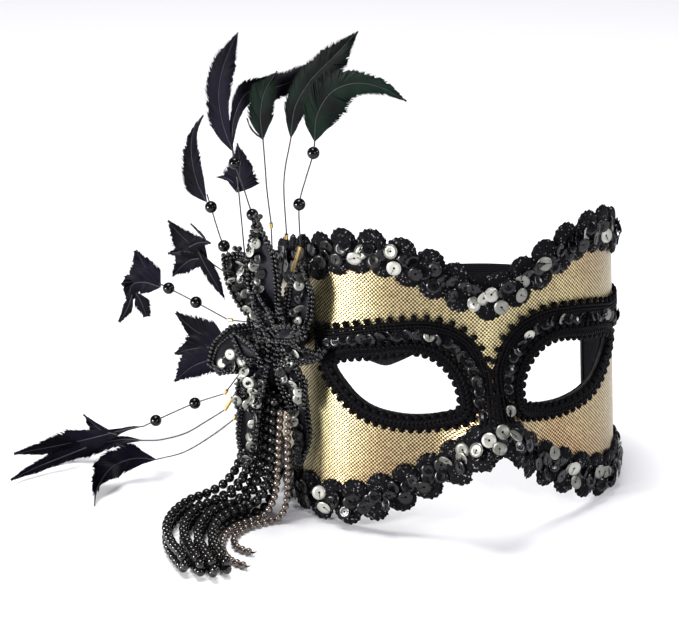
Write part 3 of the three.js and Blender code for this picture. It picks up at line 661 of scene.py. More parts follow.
def add_scallop(shape, centre, along, across, base, seed):
    """A fan of stiff glitter cord: a low dome with ribs that spread from its root."""
    chance = np.random.default_rng(seed)
    turn = np.linspace(0, 2 * math.pi, 61)[None, :-1]
    reach = np.linspace(0.02, 1, 11)[:, None]
    ripple = np.cos(SCALLOP_RIBS * turn + chance.uniform(0, 6))
    radius = SCALLOP_RADIUS * (1 + 0.035 * ripple * reach + 0.02 * chance.normal(size=turn.shape))
    x = reach * radius * np.cos(turn)
    y = reach * radius * np.sin(turn)
    s = centre[0] + x * along[0] + y * across[0]
    z = np.maximum(centre[1] + x * along[1] + y * across[1], 0.02)
    dome = SCALLOP_RISE * np.sqrt(np.maximum(0, 1 - reach**4))
    dome = dome + RIB_RISE * ripple * reach * np.sqrt(1.0001 - reach**2)
    shape.add(skin_out(s, z, base + dome), grid_faces(len(reach), turn.size, wrap=True)[:, ::-1])


def add_sequins(shape, places, axes, radius, seed, tilt=0.22, shares=SEQUIN_SHARES, first=0, lit=0.5):
    """Flat sequins in several shades, the grey and bright ones painted reflections, with the black stitch
    that holds each one down.

    Where lit is near 0 nearly all of them are painted dark, and where it is near 1 more of them get the
    painted reflections.
    """
    chance = np.random.default_rng(seed)
    # Painted reflections: where lit is high, more of the sequins are painted grey and bright.
    pick = chance.uniform(size=len(places)) + 0.3 * (np.broadcast_to(lit, len(places)) - 0.5)
    kinds = np.clip(np.searchsorted(np.cumsum(shares), pick), 0, len(SEQUINS) - 1)
    frames = turned(axes, tilt, seed + 1)
    for kind in range(len(SEQUINS)):
        chosen = kinds == kind
        if chosen.any():
            shape.add_copies(SEQUIN_SHAPE, places[chosen], frames[chosen], radius, first + kind)
    stitches = places + frames[:, 0] * radius * 0.5 + frames[:, 2] * radius * 0.1
    stitch = (radius * 0.55, STITCH_RADIUS, STITCH_RADIUS)
    shape.add_copies(STRAND_SHAPE, stitches, frames, stitch, first + len(SEQUINS))


def trim(name, node, line, narrowing, seed):
    """Two staggered rows of scallops, with sequins that overlap like scales between them."""
    chance = np.random.default_rng(seed)
    shape = Shape()
    route = trim_route(line, -SIDE_END + 5, SIDE_END - 5)
    for row, (side, start) in enumerate([(1, 0.5), (-1, 0.0)]):
        centres, along, across = along_route(route, SCALLOP_PITCH, start)
        narrow = narrowing * np.exp(-((centres[:, 0] / NOSE_NARROWING_RUN) ** 2))
        middle = side * (TRIM_HALF - SCALLOP_RADIUS - narrow)
        for i, (centre, u, v) in enumerate(zip(centres, along, across)):
            base = 1.0 + 0.5 * ((i + row) % 2)
            add_scallop(shape, centre + middle[i] * v, u, v, base, seed + 100 * row + i)
    places, _, across = along_route(route, SEQUIN_PITCH)
    count = len(places)
    narrow = 1 - narrowing / TRIM_HALF * np.exp(-((places[:, 0] / NOSE_NARROWING_RUN) ** 2))
    swing = narrow * (3.0 * np.sin(np.arange(count) * 2.1) + chance.normal(0, 0.6, count))
    spots = places + across * swing[:, None]
    at, axes = face_places(spots, 3.0 + 0.4 * (np.arange(count) % 3))
    lit = 0.5 + 0.5 * np.sin(places[:, 0] * 0.13 + seed)  # painted reflections: runs of sequins painted grey and bright, where they would catch the light
    add_sequins(shape, at, axes, SEQUIN_RADIUS, seed, tilt=0.3, first=1, lit=lit)
    shape.piece(name, "mask", "sequin_trim", [GLITTER, *SEQUINS, BRAID], [node])


def make_nose_sequins():
    """A cluster of sequins over the tip of the nose, most of them painted grey and bright as painted
    reflections, and one beside it.
    """
    shape = Shape()
    places, axes = face_places(NOSE_SEQUINS, 5.0 + 0.3 * (np.arange(len(NOSE_SEQUINS)) % 3))
    add_sequins(shape, places, axes, SEQUIN_RADIUS, 77, tilt=0.2, shares=NOSE_SHARES)
    shape.piece("nose_sequins", "mask", "sequin_trim", [*SEQUINS, BRAID])


# ---- eye surrounds -------------------------------------------------------------------------------
def add_ribbon(shape, low, high, inner, outer, closed=False):
    """A flat band on the face between two rows of (s, z) points, with rounded edges."""
    share = np.array([0, 0, 0.12, 0.5, 0.88, 1, 1])
    lift = np.array([0, 0.6, 0.92, 1, 0.92, 0.6, 0])
    low, high = np.asarray(low), np.asarray(high)
    rows = low[:, None] + share[None, :, None] * (high - low)[:, None]
    out = inner + lift[None, :] * (outer - inner)
    points = skin_out(rows[..., 0], rows[..., 1], np.broadcast_to(out, rows.shape[:2]))
    if closed:
        points = np.concatenate([points, points[:1]])
    shape.add(points, grid_faces(len(points), len(share)))


def add_strands(shape, starts, ends, out, radius):
    """Plump threads from one (s, z) point of the face to another, the given distance outside it."""
    middle = (starts + ends) / 2
    a = skin_out(starts[:, 0], starts[:, 1], out)
    b = skin_out(ends[:, 0], ends[:, 1], out)
    normal = face_axes(middle[:, 0], middle[:, 1])[2]
    along = unit(b - a)
    across = unit(np.cross(normal, along))
    half = np.linalg.norm(b - a, axis=1) / 2
    scales = np.stack([half, np.full(len(half), radius), np.full(len(half), radius * 0.8)], 1)
    axes = np.stack([along, across, np.cross(along, across)], 1)
    shape.add_copies(STRAND_SHAPE, (a + b) / 2, axes, scales)


def eye_gimp(label, side):
    """Herringbone braid round an eye opening, with a scalloped edge on both sides."""
    shape = Shape()
    mirror = np.array([side, 1])
    inner, outer = (eye_outline(edge, GIMP_THREADS) * mirror for edge in (0.3, GIMP_WIDTH - 0.2))
    add_ribbon(shape, inner, outer, 1.0, 1.9, closed=True)
    ahead = np.roll((inner + outer) / 2, -2, axis=0)
    for edge, rest in ((inner, outer), (outer, inner)):
        starts = 0.86 * edge + 0.14 * rest
        ends = 0.94 * ahead + 0.06 * np.roll(rest, -2, axis=0)
        add_strands(shape, starts, ends, 2.3, 0.86)
    for edge, count, radius in ((0.5, 38, 1.55), (GIMP_WIDTH - 0.1, 46, 1.35)):
        places, axes = face_places(eye_outline(edge, count) * mirror, 1.9)
        shape.add_copies(SEED_SHAPE, places, axes, (radius, radius, 0.9))
    shape.piece(f"{label}_gimp", "mask", "black_braid", [BRAID], [f"{label}_eye_gimp"])


def brow(label, side, first):
    """A ribbed band with a row of small sequins along it."""
    mirror = np.array([side, 1])
    low, high = (smooth(line[first:], BROW_THREADS) * mirror for line in (BROW_LOW, BROW_HIGH))
    shape = Shape()
    add_ribbon(shape, low, high, 1.3, 2.2)
    for start, stop in ((0.04, 0.48), (0.96, 0.52)):
        a = low * (1 - start) + high * start
        b = low * (1 - stop) + high * stop
        add_strands(shape, a[:-2], b[2:], 2.3, 0.55)
    route = evenly((low + high) / 2, 4.0)[1:-1]
    wobble = route + random.normal(0, 0.35, route.shape)
    places, axes = face_places(wobble, 2.5 + 0.2 * (np.arange(len(wobble)) % 2))
    add_sequins(shape, places, axes, SMALL_SEQUIN, 31 + side, tilt=0.3, shares=BROW_SHARES, first=1)
    shape.piece(f"{label}_brow", "mask", "sequin_band", [BRAID, *SEQUINS, BRAID], [f"{label}_brow_band"])


def picot(label, side, first):
    """A narrow braid with a round knot standing off it every few millimetres."""
    mirror = np.array([side, 1])
    route = evenly(smooth(PICOT_LINE[first:], 400), PICOT_STEP)
    along = directions(route)
    across = np.stack([-along[:, 1], along[:, 0]], 1)
    across *= np.where(across[:, 1:] < 0, -1, 1)
    shape = Shape()
    for offset in (-2.0, -0.75, 0.75):
        line = (route + offset * across) * mirror
        twist = 0.75 + 0.12 * np.sin(np.arange(len(line)) * 1.6)
        add_tube(shape, skin_out(line[:, 0], line[:, 1], 2.1), twist, 8)
    step = max(1, round(PICOT_PITCH / PICOT_STEP))
    knots = (route + 2.6 * across)[step // 2::step]
    knots[:, 0] = np.maximum(knots[:, 0], 0.5)
    knots = knots * mirror
    feet = route[step // 2::step] * mirror
    add_strands(shape, feet, knots, 1.7, 0.5)
    places, axes = face_places(knots, 1.9)
    shape.add_copies(SEED_SHAPE, places, axes, (1.3, 1.25, 1.0))
    shape.piece(f"{label}_picot", "mask", "black_braid", [BRAID], [f"{label}_picot_braid"])


def upright(s, z):
    """An upright line on the face at distance s from its centre line, as (s, z) points."""
    return np.stack([np.full(len(z), s), z], 1)


def make_lining_tape():
    """Narrow tape that binds the inner edges of the lining, and a patch behind each strap end, both of
    black braid.
    """
    shape = Shape()
    s = np.linspace(-SIDE_END + 1.6, SIDE_END - 1.6, 260)
    for line, sign in ((TOP_LINE, 1), (BOTTOM_LINE, -1)):
        edge = height_at(line, s) + sign * (SHELL_OVERLAP - 1.3)
        near = np.stack([s, edge - sign * TAPE_WIDTH], 1)
        add_ribbon(shape, near, np.stack([s, edge], 1), LINING_BACK, TAPE_BACK)
    for side in (-1, 1):
        mirror = np.array([side, 1])
        low, high = (eye_outline(edge, 120) * mirror for edge in (0.5, 0.5 + TAPE_WIDTH))
        add_ribbon(shape, low, high, LINING_BACK, TAPE_BACK, closed=True)
        end = side * (SIDE_END - 1.4)
        z = np.linspace(BOTTOM_LINE[-1][1], TOP_LINE[-1][1], 60)
        add_ribbon(shape, upright(end - side * TAPE_WIDTH, z), upright(end, z), LINING_BACK, TAPE_BACK)
        middle = side * PATCH_PLACE
        z = STRAP_ROUTE_HEIGHT + np.linspace(-PATCH_HALF, PATCH_HALF, 20)
        near, far = (upright(middle + reach * side * PATCH_HALF, z) for reach in (-1, 1))
        add_ribbon(shape, near, far, LINING_BACK, PATCH_BACK)
    shape.piece("lining_tape", "mask", "black_braid", [BRAID])


def make_lining_flap():
    """A loose edge of the lining that hangs a little into one eye opening."""
    shape = Shape()
    add_ribbon(shape, smooth(FLAP_LOW, 30), smooth(FLAP_HIGH, 30), LINING_BACK, -1.2)
    shape.piece("lining_flap", "mask", "black_felt", [FELT])


# ---- flower --------------------------------------------------------------------------------------
# Each petal is in the flower's frame: a spine, its half widths to the left and to the right, the
# share of it across which sequins lie (from -1 at the left edge to 1 at the right), and how lit they are.
PETALS = [
    ("petal_under", [(-2, -6, 1.6), (-2.5, -22, 1.6), (-1, -36, 1.6)], (6, 9, 5), (6, 8, 4), None, 0),
    ("petal_left", [(-8, -3, 3.8), (-16, -8.5, 5), (-24, -15, 5.4), (-30, -23, 4.6)],
     (4, 8.5, 9, 1.5), (5, 9.5, 8, 4), (-0.8, 0.2), 0.8),
    ("petal_upper_left", [(-7, 2, 4), (-13, 11, 5), (-17.5, 20, 5.4), (-20, 30.5, 4.6)],
     (3, 5.5, 6.6, 5.6), (4, 6, 8.4, 4.4), (-0.9, 0.7), 0.95),
    ("petal_right", [(6.5, 2, 5.5), (9, 12, 6.6), (10.5, 21, 6.8), (10.3, 29.5, 6)],
     (3, 6, 6.2, 1.5), (4, 7, 5.6, 1.5), (-0.6, 0.2), 0.3),
    ("petal_top", [(-3, 8, 8.4), (-5, 25, 9), (-6.8, 38, 8.6), (-8.4, 47.5, 8)],
     (5, 7.4, 5.8, 1), (5, 7, 6.8, 1), (-0.9, -0.2), 0.9),
    ("petal_folded", [(-1, 2, 9.6), (-5, 10.5, 10.4), (-8.8, 19.4, 10)],
     (3, 3.4, 0.6), (3, 3, 0.6), None, 0),
    ("petal_inner_right", [(-1, 0.5, 9.6), (6.5, 2.6, 10.6), (13.6, 4, 9.4)],
     (3.2, 4.2, 2.6), (2.6, 3.8, 2), None, 0),
    ("petal_inner_left", [(-19.6, -3.2, 8), (-13.5, -8, 9.6), (-6.6, -13.4, 9)],
     (1, 4.4, 1.2), (1, 4.4, 1.4), None, 0),
    ("leaf_right", [(4, -3.5, 8), (11, -6.5, 8.6), (20, -5.5, 8)],
     (3, 4, 0.8), (2.6, 3.6, 0.8), (-0.7, 0.7), 0.8),
    ("petal_front", [(3, -9, 8), (7, -18, 9.4), (10.5, -30.5, 8.4)],
     (4, 7, 2.6), (4, 6, 4), (-0.9, 0.7), 0.85),
    ("petal_low_front", [(-7, -13, 8.6), (-9.5, -23, 13), (-12.5, -33, 14.2)],
     (4, 6, 4.4), (4, 6, 3), (-0.9, 0.9), 0.8),
    ("petal_lower_right", [(3.5, -14, 3), (7, -32, 3.4), (9.4, -46, 4), (8, -58, 4)],
     (4, 5, 4.5, 0.8), (4, 5.6, 3.4, 1), (0.0, 0.8), 0.1),
    ("petal_lower_left", [(-9, -20, 12.4), (-10.4, -36, 14.4), (-11, -47, 15.6), (-10.6, -57, 16.6)],
     (4, 5.4, 5.4, 1), (3, 4.2, 3.2, 1), (-1, -0.3), 0.5),
]


def add_petal(shape, path, left, right, spread, lit, seed):
    """A cupped satin petal with rows of seed beads along its edge and sequins on a part of it."""
    chance = np.random.default_rng(seed)
    spine = evenly(smooth(flower_point(path), 200), 0.8)
    rows = len(spine)
    along = directions(spine)
    side = unit(np.cross(along, OUTWARD))
    t = np.linspace(0, 1, rows)
    stations = np.linspace(0, 1, len(left))
    cross = np.linspace(-1, 1, PETAL_COLUMNS)
    reach = np.where(cross < 0, 1, 0) * np.interp(t, stations, left)[:, None]
    reach = reach + np.where(cross >= 0, 1, 0) * np.interp(t, stations, right)[:, None]
    cup = 1.2 * cross**2 - 0.5 + 0.35 * np.sin(9 * t[:, None] + 3 * cross + seed)
    front = spine[:, None] + (reach * cross)[..., None] * side[:, None] + cup[..., None] * OUTWARD
    faces = grid_faces(rows, len(cross))
    shape.add(front + PETAL_THICK / 2 * OUTWARD, faces)
    shape.add(front - PETAL_THICK / 2 * OUTWARD, faces[:, ::-1])
    border = np.concatenate([front[:, 0], front[-1], front[::-1, -1]])
    inner = np.concatenate([front[:-2, 2], front[-3, 2:-2], front[-3::-1, -3]])
    for line, lift, size in ((border, 0.5, SEED_RADIUS), (inner, 0.8, 0.75 * SEED_RADIUS)):
        beads = evenly(line, 2 * size + 0.02) + lift * OUTWARD
        shape.add_copies(SEED_SHAPE, beads, thread_axes(beads), size, 1)
    tip = front[-1, len(cross) // 2] + np.array([[0, 0, 0.6], [-0.9, 0.6, 1.9], [0.9, -0.4, 1.9]])
    shape.add_copies(SEED_SHAPE, tip, thread_axes(tip), 1.1 * SEED_RADIUS, 1)
    if spread is None:
        return
    low, high = spread
    spots = []
    for i, row in enumerate(range(3, rows - 3, 4)):
        room = (high - low) * 0.5 * (reach[row, 0] + reach[row, -1])
        lanes = max(1, round(room / 4.0))
        for lane in range(lanes):
            across = low + (high - low) * (lane + 0.5 + 0.3 * (i % 2)) / lanes + chance.normal(0, 0.06)
            column = int(np.clip(round((across + 1) / 2 * (len(cross) - 1)), 1, len(cross) - 2))
            spots.append(front[row, column] + (0.8 + chance.uniform(0, 0.9)) * OUTWARD)
    axes = np.broadcast_to(np.stack([ACROSS, UP, OUTWARD]), (len(spots), 3, 3))
    places = np.array(spots)
    add_sequins(shape, places, axes, PETAL_SEQUIN, seed, tilt=0.4, shares=PETAL_SHARES, first=2, lit=lit)


def bead_ring(shape, middle, radius, tilt, size):
    """A closed ring of seed beads, tipped out of the flower's plane."""
    h, v, d = middle
    turn = np.linspace(0, 2 * math.pi, 61)
    circle = [h + radius * np.cos(turn), v + radius * np.sin(turn), d + tilt * np.cos(turn + radius)]
    line = evenly(flower_point(np.stack(circle, 1)), 2 * size + 0.03)
    shape.add_copies(SEED_SHAPE, line, thread_axes(line), size)


def make_bead_heart(chance):
    """Rings of seed beads that spiral out from the middle of the flower."""
    shape = Shape()
    for i in range(9):
        angle = 2.4 * i
        away = 1.8 * math.sqrt(i)
        middle = (away * math.cos(angle), away * math.sin(angle), 9.6 - 0.25 * i)
        bead_ring(shape, middle, 2.4 + 0.25 * i, chance.uniform(0.8, 2.0), 0.95 * SEED_RADIUS)
    shape.piece("bead_heart", "mask", "black_glass_bead", [SEED_BEAD], ["rosette"])


def make_bead_loops(chance):
    """Short loops of seed beads that stand out round the heart of the flower."""
    shape = Shape()
    for i in range(BEAD_LOOPS):
        angle = 2 * math.pi * i / BEAD_LOOPS + chance.normal(0, 0.2)
        near, far, spread = 5, chance.uniform(9, 14), chance.uniform(0.3, 0.6)
        corners = [
            (reach * math.cos(turn), reach * math.sin(turn), depth)
            for reach, turn, depth in (
                (near, angle - spread, 8),
                (far, angle, 10 + chance.uniform(0, 1.5)),
                (near, angle + spread, 8),
            )
        ]
        line = evenly(smooth(flower_point(corners), 60), 1.9)
        shape.add_copies(SEED_SHAPE, line, thread_axes(line), 0.9 * SEED_RADIUS)
    shape.piece("bead_loops", "mask", "black_glass_bead", [SEED_BEAD])


def make_ring_sequin():
    """One sequin low on the flower, painted bright as a painted reflection, held by a seed bead."""
    shape = Shape()
    place = flower_point([RING_SEQUIN])
    axes = np.stack([ACROSS, UP, OUTWARD])[None]
    shape.add_copies(SEQUIN_SHAPE, place, axes, 2.6)
    shape.add_copies(SEED_SHAPE, place + 0.9 * OUTWARD, axes, 0.9, 1)
    shape.piece("ring_sequin", "mask", "sequin_trim", [SEQUINS[3], SEED_BEAD])


def make_flower():
    """The petals, then the beads of the heart, the loops round it and one loose sequin."""
    for i, (name, path, left, right, spread, lit) in enumerate(PETALS):
        shape = Shape()
        add_petal(shape, path, left, right, spread, lit, 50 + i)
        replaced = [name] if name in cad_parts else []
        shape.piece(f"{name}_beaded", "mask", "petal_satin", [SATIN, SEED_BEAD, *SEQUINS, BRAID], replaced)
    chance = np.random.default_rng(12)
    make_bead_heart(chance)
    make_bead_loops(chance)
    make_ring_sequin()


def make_hub():
    """A felt pad behind the flower, and a thin brass socket for each wire."""
    pad = Shape()
    turn = np.linspace(0, 2 * math.pi, 49)[:-1]
    rings = []
    for depth, share in PAD_PROFILE:
        middle = PAD_MIDDLE - 0.62 * min(depth, 0)  # the cushion leans towards the side of the mask
        radius = PAD_RADIUS * share
        rings.append([(middle + radius * math.cos(a), radius * math.sin(a), depth) for a in turn])
    pad.add(flower_point(np.array(rings)), grid_faces(len(rings), len(turn), wrap=True))
    pad.piece("flower_pad", "mask", "black_felt", [FELT], ["flower_hub"])
    sockets = Shape()
    for stem in STEMS:
        mouth = flower_point(stem["wire"][0])
        inside = flower_point([PAD_MIDDLE, 0, stem["wire"][0][2] * 0.5 - 0.4])
        outward = unit(mouth - inside)
        start = mouth - stem.get("sleeve", SLEEVE) * outward
        add_tube(sockets, evenly([start, mouth], 1.5), SOCKET_RADIUS, 14)
        add_tube(sockets, evenly([inside + 6 * outward, mouth], 1.5), WIRE_RADIUS, 8, 1)
    sockets.piece("brass_sockets", "mask", "steel_wire", [BRASS, WIRE])


# ---- feathers on wire stems ----------------------------------------------------------------------
# Each wire and each feather shaft is in the flower's frame. Beads sit on the numbered wire points.
# A vane is a shaft with its half widths to the left and to the right. A sleeve is how much of the
# wire's brass socket shows, where that isn't SLEEVE.
STEMS = [
    {
        "wire": [(7, 36.8, 0.5), (7.1, 55, 1.5), (10.9, 67.3, 3), (14.7, 78.5, 4), (15.8, 83.9, 5)],
        "beads": (1, 3),
        "vanes": [
            ([(15.8, 83.9, 5), (17.5, 95, 6), (24, 105.5, 6.4), (34, 110.5, 6.4), (46, 110, 6.2),
              (55.5, 106.1, 6)], (0.6, 7, 9, 5.5, 3.6, 0.4), (0.6, 7.5, 9.5, 5.5, 3.4, 0.4)),
        ],
        "green": True,
        "sleeve": 12.0,
    },
    {
        "wire": [(0.5, 40.7, 0), (-0.4, 63.9, 0), (2.8, 81.8, 0)],
        "vanes": [
            ([(2.8, 81.8, 0), (5, 95, 0), (12, 107, 0), (22, 118, 0), (32, 129.2, 0)],
              (0.6, 5.6, 6.2, 5, 0.3), (0.6, 5, 7, 6.4, 0.3)),
        ],
        "green": True,
    },
    {
        "wire": [(-5.9, 44.8, 1), (-7.4, 59.2, 1.5), (-7.7, 67.7, 2), (-8.6, 80.1, 2)],
        "vanes": [
            ([(-8.6, 80.1, 2), (-9.5, 90, 2), (-7.5, 100, 2), (-2.1, 109.2, 2)], (0.5, 6.6, 6, 0.3),
              (0.5, 5.4, 5.4, 0.3)),
            ([(-8.6, 80.1, 2), (-13.4, 83.5, 2.4), (-15.6, 88, 2.4)], (0.4, 0.5, 0.2), (0.2, 0.3, 0.2)),
        ],
        "green": True,
    },
    {
        "wire": [(-11.4, 40.6, 1), (-13.8, 47.4, 2), (-17.3, 59.1, 3), (-20.4, 69, 4), (-20.4, 74, 5)],
        "beads": (1, 3),
        "vanes": [
            ([(-20.4, 74, 5), (-24.5, 84, 5), (-26.5, 96, 5), (-24.5, 108, 5), (-17.7, 123.6, 5)],
              (0.8, 6.6, 6.4, 5, 0.3), (0.8, 3.4, 5.2, 5, 0.3)),
        ],
    },
    {
        "wire": [(-19.2, 28.4, -1), (-21.6, 49.6, -2), (-23.7, 59.3, -4), (-27.5, 70.6, -7)],
        "vanes": [
            ([(-27.5, 70.6, -7), (-26.5, 84, -8), (-20.5, 95, -8), (-9, 98.5, -8), (3, 104.5, -8),
              (13.8, 113.9, -8)], (0.4, 2.2, 5, 5.4, 4.6, 0.3), (0.4, 2, 4, 5, 4.6, 0.3)),
            ([(-24, 53.5, -4), (-22.6, 60, -4), (-22.4, 67, -4), (-23.4, 74.5, -4)], (3.5, 8, 4.5, 0.4),
              (5, 9, 5, 0.4)),
            ([(-25, 57.5, -3.6), (-29, 59.2, -3.4), (-32.7, 58.9, -3)], (1.6, 1.2, 0.2), (1.6, 1.4, 0.2)),
        ],
    },
    {
        "wire": [(-23.8, 25.4, 0), (-27.9, 31, 0.5), (-33.3, 47.2, 1), (-34.7, 52.6, 1.5)],
        "beads": (1, 2),
        "vanes": [
            ([(-34.9, 49.4, 1.5), (-38.6, 56, 1.5), (-41.4, 68, 1.5), (-40.6, 78, 1.5),
              (-35.6, 86.2, 1.5)], (5.6, 7.4, 5, 1.7, 0.3), (0.6, 3.4, 4.2, 1.9, 0.3)),
        ],
    },
    {
        "wire": [(-24.1, 17.5, 0), (-31, 20.8, 0), (-38, 24, 0)],
        "vanes": [
            ([(-36, 23.5, 0), (-42, 28, 0), (-48, 32, 0), (-54.2, 37.6, 0)], (4, 7.5, 7, 0.4),
              (3, 6, 3.4, 0.4)),
            ([(-36, 24, 0.5), (-43, 22.5, 0.5), (-48, 18.5, 0.5), (-52.4, 13.4, 0.5)], (1, 4, 4, 0.4),
              (3, 7, 5, 0.4)),
            ([(-37, 25.5, 0.3), (-46, 25.4, 0.3), (-54.4, 23.2, 0.3)], (2, 5, 0.5), (2, 5, 0.5)),
            ([(-44, 28, 0.8), (-38.6, 31, 1), (-33.4, 31.5, 1.2)], (1, 3, 0.3), (1, 2.4, 0.3)),
            ([(-35, 31.6, 1.2), (-38.4, 35.2, 1.4), (-42.8, 38.6, 1.4)], (0.4, 0.6, 0.2),
              (0.4, 0.6, 0.2)),
            ([(-39.5, 26.8, 1), (-35.6, 20, 1), (-31.4, 13.6, 1), (-27.6, 7.6, 1)], (0.4, 3.8, 3.2, 0.2),
              (0.4, 3.4, 3, 0.2)),
        ],
    },
    {
        "wire": [(-26.8, -1.5, 0), (-41.8, 3.6, 0), (-54.6, 7.6, 0), (-58.9, 8.9, 0)],
        "beads": (1, 2),
        "vanes": [
            ([(-58.4, 8, 0), (-62, 12, 0), (-66, 16, 0), (-69.8, 22, 0)], (1, 7, 8, 1.2), (1, 5, 4, 0.8)),
            ([(-58.4, 7.6, 0.3), (-66, 8.4, 0.3), (-72, 6, 0.3), (-73.4, -1.5, 0.3)], (1, 5, 5, 1.2),
              (1, 7, 6, 2.4)),
            ([(-70, 3, 0.6), (-67.4, -1, 0.6), (-65.2, -7, 0.6)], (1, 4.4, 2), (1, 4.4, 2)),
            ([(-71.6, 2, 0.8), (-74.4, -5, 0.8), (-78.6, -11.8, 0.8)], (1, 2.6, 0.6), (1, 2.6, 0.6)),
        ],
    },
    {
        "wire": [(-26, -15.1, -1), (-30.5, -15.2, -1.5), (-35, -15.3, -2)],
        "vanes": [
            ([(-29, -12.6, -2), (-37, -12, -2), (-45, -9.4, -2), (-52.8, -3.8, -2)], (4, 5, 5, 0.6),
              (5, 8, 6.6, 1.2)),
            ([(-29, -15.5, -1.6), (-37, -16.4, -1.6), (-45, -18.6, -1.6), (-53.6, -22.4, -1.6)],
              (5, 7, 6, 0.6), (5, 7, 6, 0.6)),
            ([(-29, -18, -1.2), (-37, -22, -1.2), (-45, -26.6, -1.2), (-53.8, -35, -1.2)], (5, 6, 5, 0.6),
              (5, 7, 7, 0.6)),
        ],
    },
    {
        "wire": [(-29.6, -35.7, -1), (-44, -43, -1), (-63.2, -54.9, -1), (-69.2, -58.8, -1)],
        "beads": (1, 2),
        "vanes": [
            ([(-69.2, -58.8, -1), (-78, -62, -1), (-88, -66, 1), (-99, -70.2, 3), (-112, -74.2, 7),
              (-126, -77.4, 14)], (0.3, 1, 5, 5.4, 3.4, 0.6), (0.3, 1, 3.4, 6.4, 3.6, 0.6)),
            ([(-82, -64.8, 0.4), (-90, -64, 0.4), (-98.4, -58.6, 0.4)], (2, 6.4, 0.6), (1, 2, 0.3)),
            ([(-94, -71, 6), (-101, -73.5, 14), (-108, -75.6, 24), (-113.6, -77.6, 36)], (1, 3, 2.6, 0.5),
              (1, 3, 2.6, 0.5)),
        ],
    },
    {
        "wire": [(-30, -43.5, -2), (-40, -51.5, -2.5), (-50, -59, -3), (-63.6, -65.4, -4),
                 (-72, -67.6, -4.5)],
        "vanes": [
            ([(-72, -67.6, -4.5), (-81, -68.6, -4), (-91, -71.6, -1), (-102, -75.6, 6),
              (-113, -78.2, 22)], (0.3, 3, 4.4, 2.6, 0.6), (0.3, 2, 6, 4, 0.8)),
        ],
        "sleeve": 7.0,
    },
    {
        "wire": [(-24.2, -45.5, 1), (-34.5, -54.9, 2), (-47.9, -65, 3), (-60.8, -70.6, 4)],
        "vanes": [
            ([(-60.8, -70.6, 4), (-68, -69.4, 9), (-74, -71, 17), (-74.5, -75, 29), (-69.5, -77.8, 41)],
              (0.6, 5, 5, 2.6, 0.3), (0.6, 6, 7.6, 4, 0.3)),
            ([(-64, -69.4, 6), (-71, -66, 8), (-78, -65, 8)], (2, 5, 0.6), (1, 3, 0.6)),
        ],
    },
]


def bent_line(start, bend, end, steps):
    """Points from start to end on a line that is drawn towards the bend between them."""
    t = steps[:, None]
    return (1 - t) ** 2 * start + 2 * t * (1 - t) * bend + t**2 * end


def add_vane(shape, path, left, right, seed):
    """Barbs on both sides of a shaft, lying towards its tip, that part in a few places."""
    chance = np.random.default_rng(seed)
    shaft = evenly(smooth(flower_point(path), 300), SHAFT_STEP)
    share = np.linspace(0, 1, len(shaft))
    along = directions(shaft)
    normal = unit(np.cross(np.cross(along, OUTWARD), along))
    across = np.cross(along, normal)
    length = SHAFT_STEP * (len(shaft) - 1)
    count = round(length / BARB_PITCH)
    lean = min(0.3, BARB_RUN / length)
    steps = np.linspace(0, 1, 6)
    for side, widths in ((-1, left), (1, right)):
        stations = np.linspace(0, 1, len(widths))
        clumps = np.cumsum(chance.uniform(size=count) < 0.07)
        clump_turn = chance.normal(0, 0.015, count + 1)[clumps]
        clump_lift = chance.normal(0, 0.25, count + 1)[clumps]
        web = []
        for k in range(count):
            t = k / count
            far = min(1.0, t + lean * (1 + chance.normal(0, 0.05)) + clump_turn[k])
            root, tip = (min(len(shaft) - 1, int(q * (len(shaft) - 1))) for q in (t, max(far, t)))
            wide = np.interp(share[tip], stations, widths) * (1 + chance.normal(0, 0.04))
            end = shaft[tip] + side * wide * across[tip] + (clump_lift[k] - 0.05 * wide) * normal[tip]
            bow = wide * (0.12 * side * across[root] + 0.08 * normal[root])
            line = bent_line(shaft[root], 0.45 * shaft[root] + 0.55 * end + bow, end, steps)
            half = (BARB_HALF * (1 - 0.75 * steps**2))[:, None] * along[root]
            shape.add(np.stack([line - half, line + half], 1), grid_faces(len(steps), 2))
            web.append(shaft[root] + (line - shaft[root]) * chance.uniform(0.8, 0.97) - 0.15 * normal[root])
        shape.add(np.array(web), grid_faces(count, len(steps)))
    radii = np.interp(share, [0, 1], QUILL_RADII)
    add_tube(shape, shaft[::3], radii[::3], 6, 1)


def make_stems():
    """Each wire with its beads and its feather, on its own body."""
    for i, stem in enumerate(STEMS):
        label, body = i + 1, f"feather_stem_{i + 1}"
        wire = Shape()
        path = smooth(flower_point(stem["wire"]), 80)
        add_tube(wire, evenly(path, 0.8), WIRE_RADIUS, 8)
        wire.piece(f"wire_{label}", body, "steel_wire", [WIRE], [f"stem_{label}"])
        for letter, index in zip("ab", stem.get("beads", ())):
            place = flower_point([stem["wire"][index]])
            near = np.argmin(np.linalg.norm(path - place, axis=1))
            glossy_bead = Shape()
            axes = thread_axes(path)[near:near + 1]
            glossy_bead.add_copies(GLOSSY_BEAD_SHAPE, place, axes, BEAD_RADIUS)
            name = f"bead_{label}{letter}"
            glossy_bead.piece(f"round_{name}", body, "black_glass_bead", [BLACK_BEAD], [name])
        vanes = Shape()
        for k, (shaft, left, right) in enumerate(stem["vanes"]):
            add_vane(vanes, shaft, left, right, 300 + 10 * i + k)
        slot, barbs = "dark_feather", DARK_FEATHER
        if "green" in stem:
            slot, barbs = "green_feather", GREEN_FEATHER
        vanes.piece(f"plume_{label}", body, slot, [barbs, QUILL], [f"feather_{label}"])


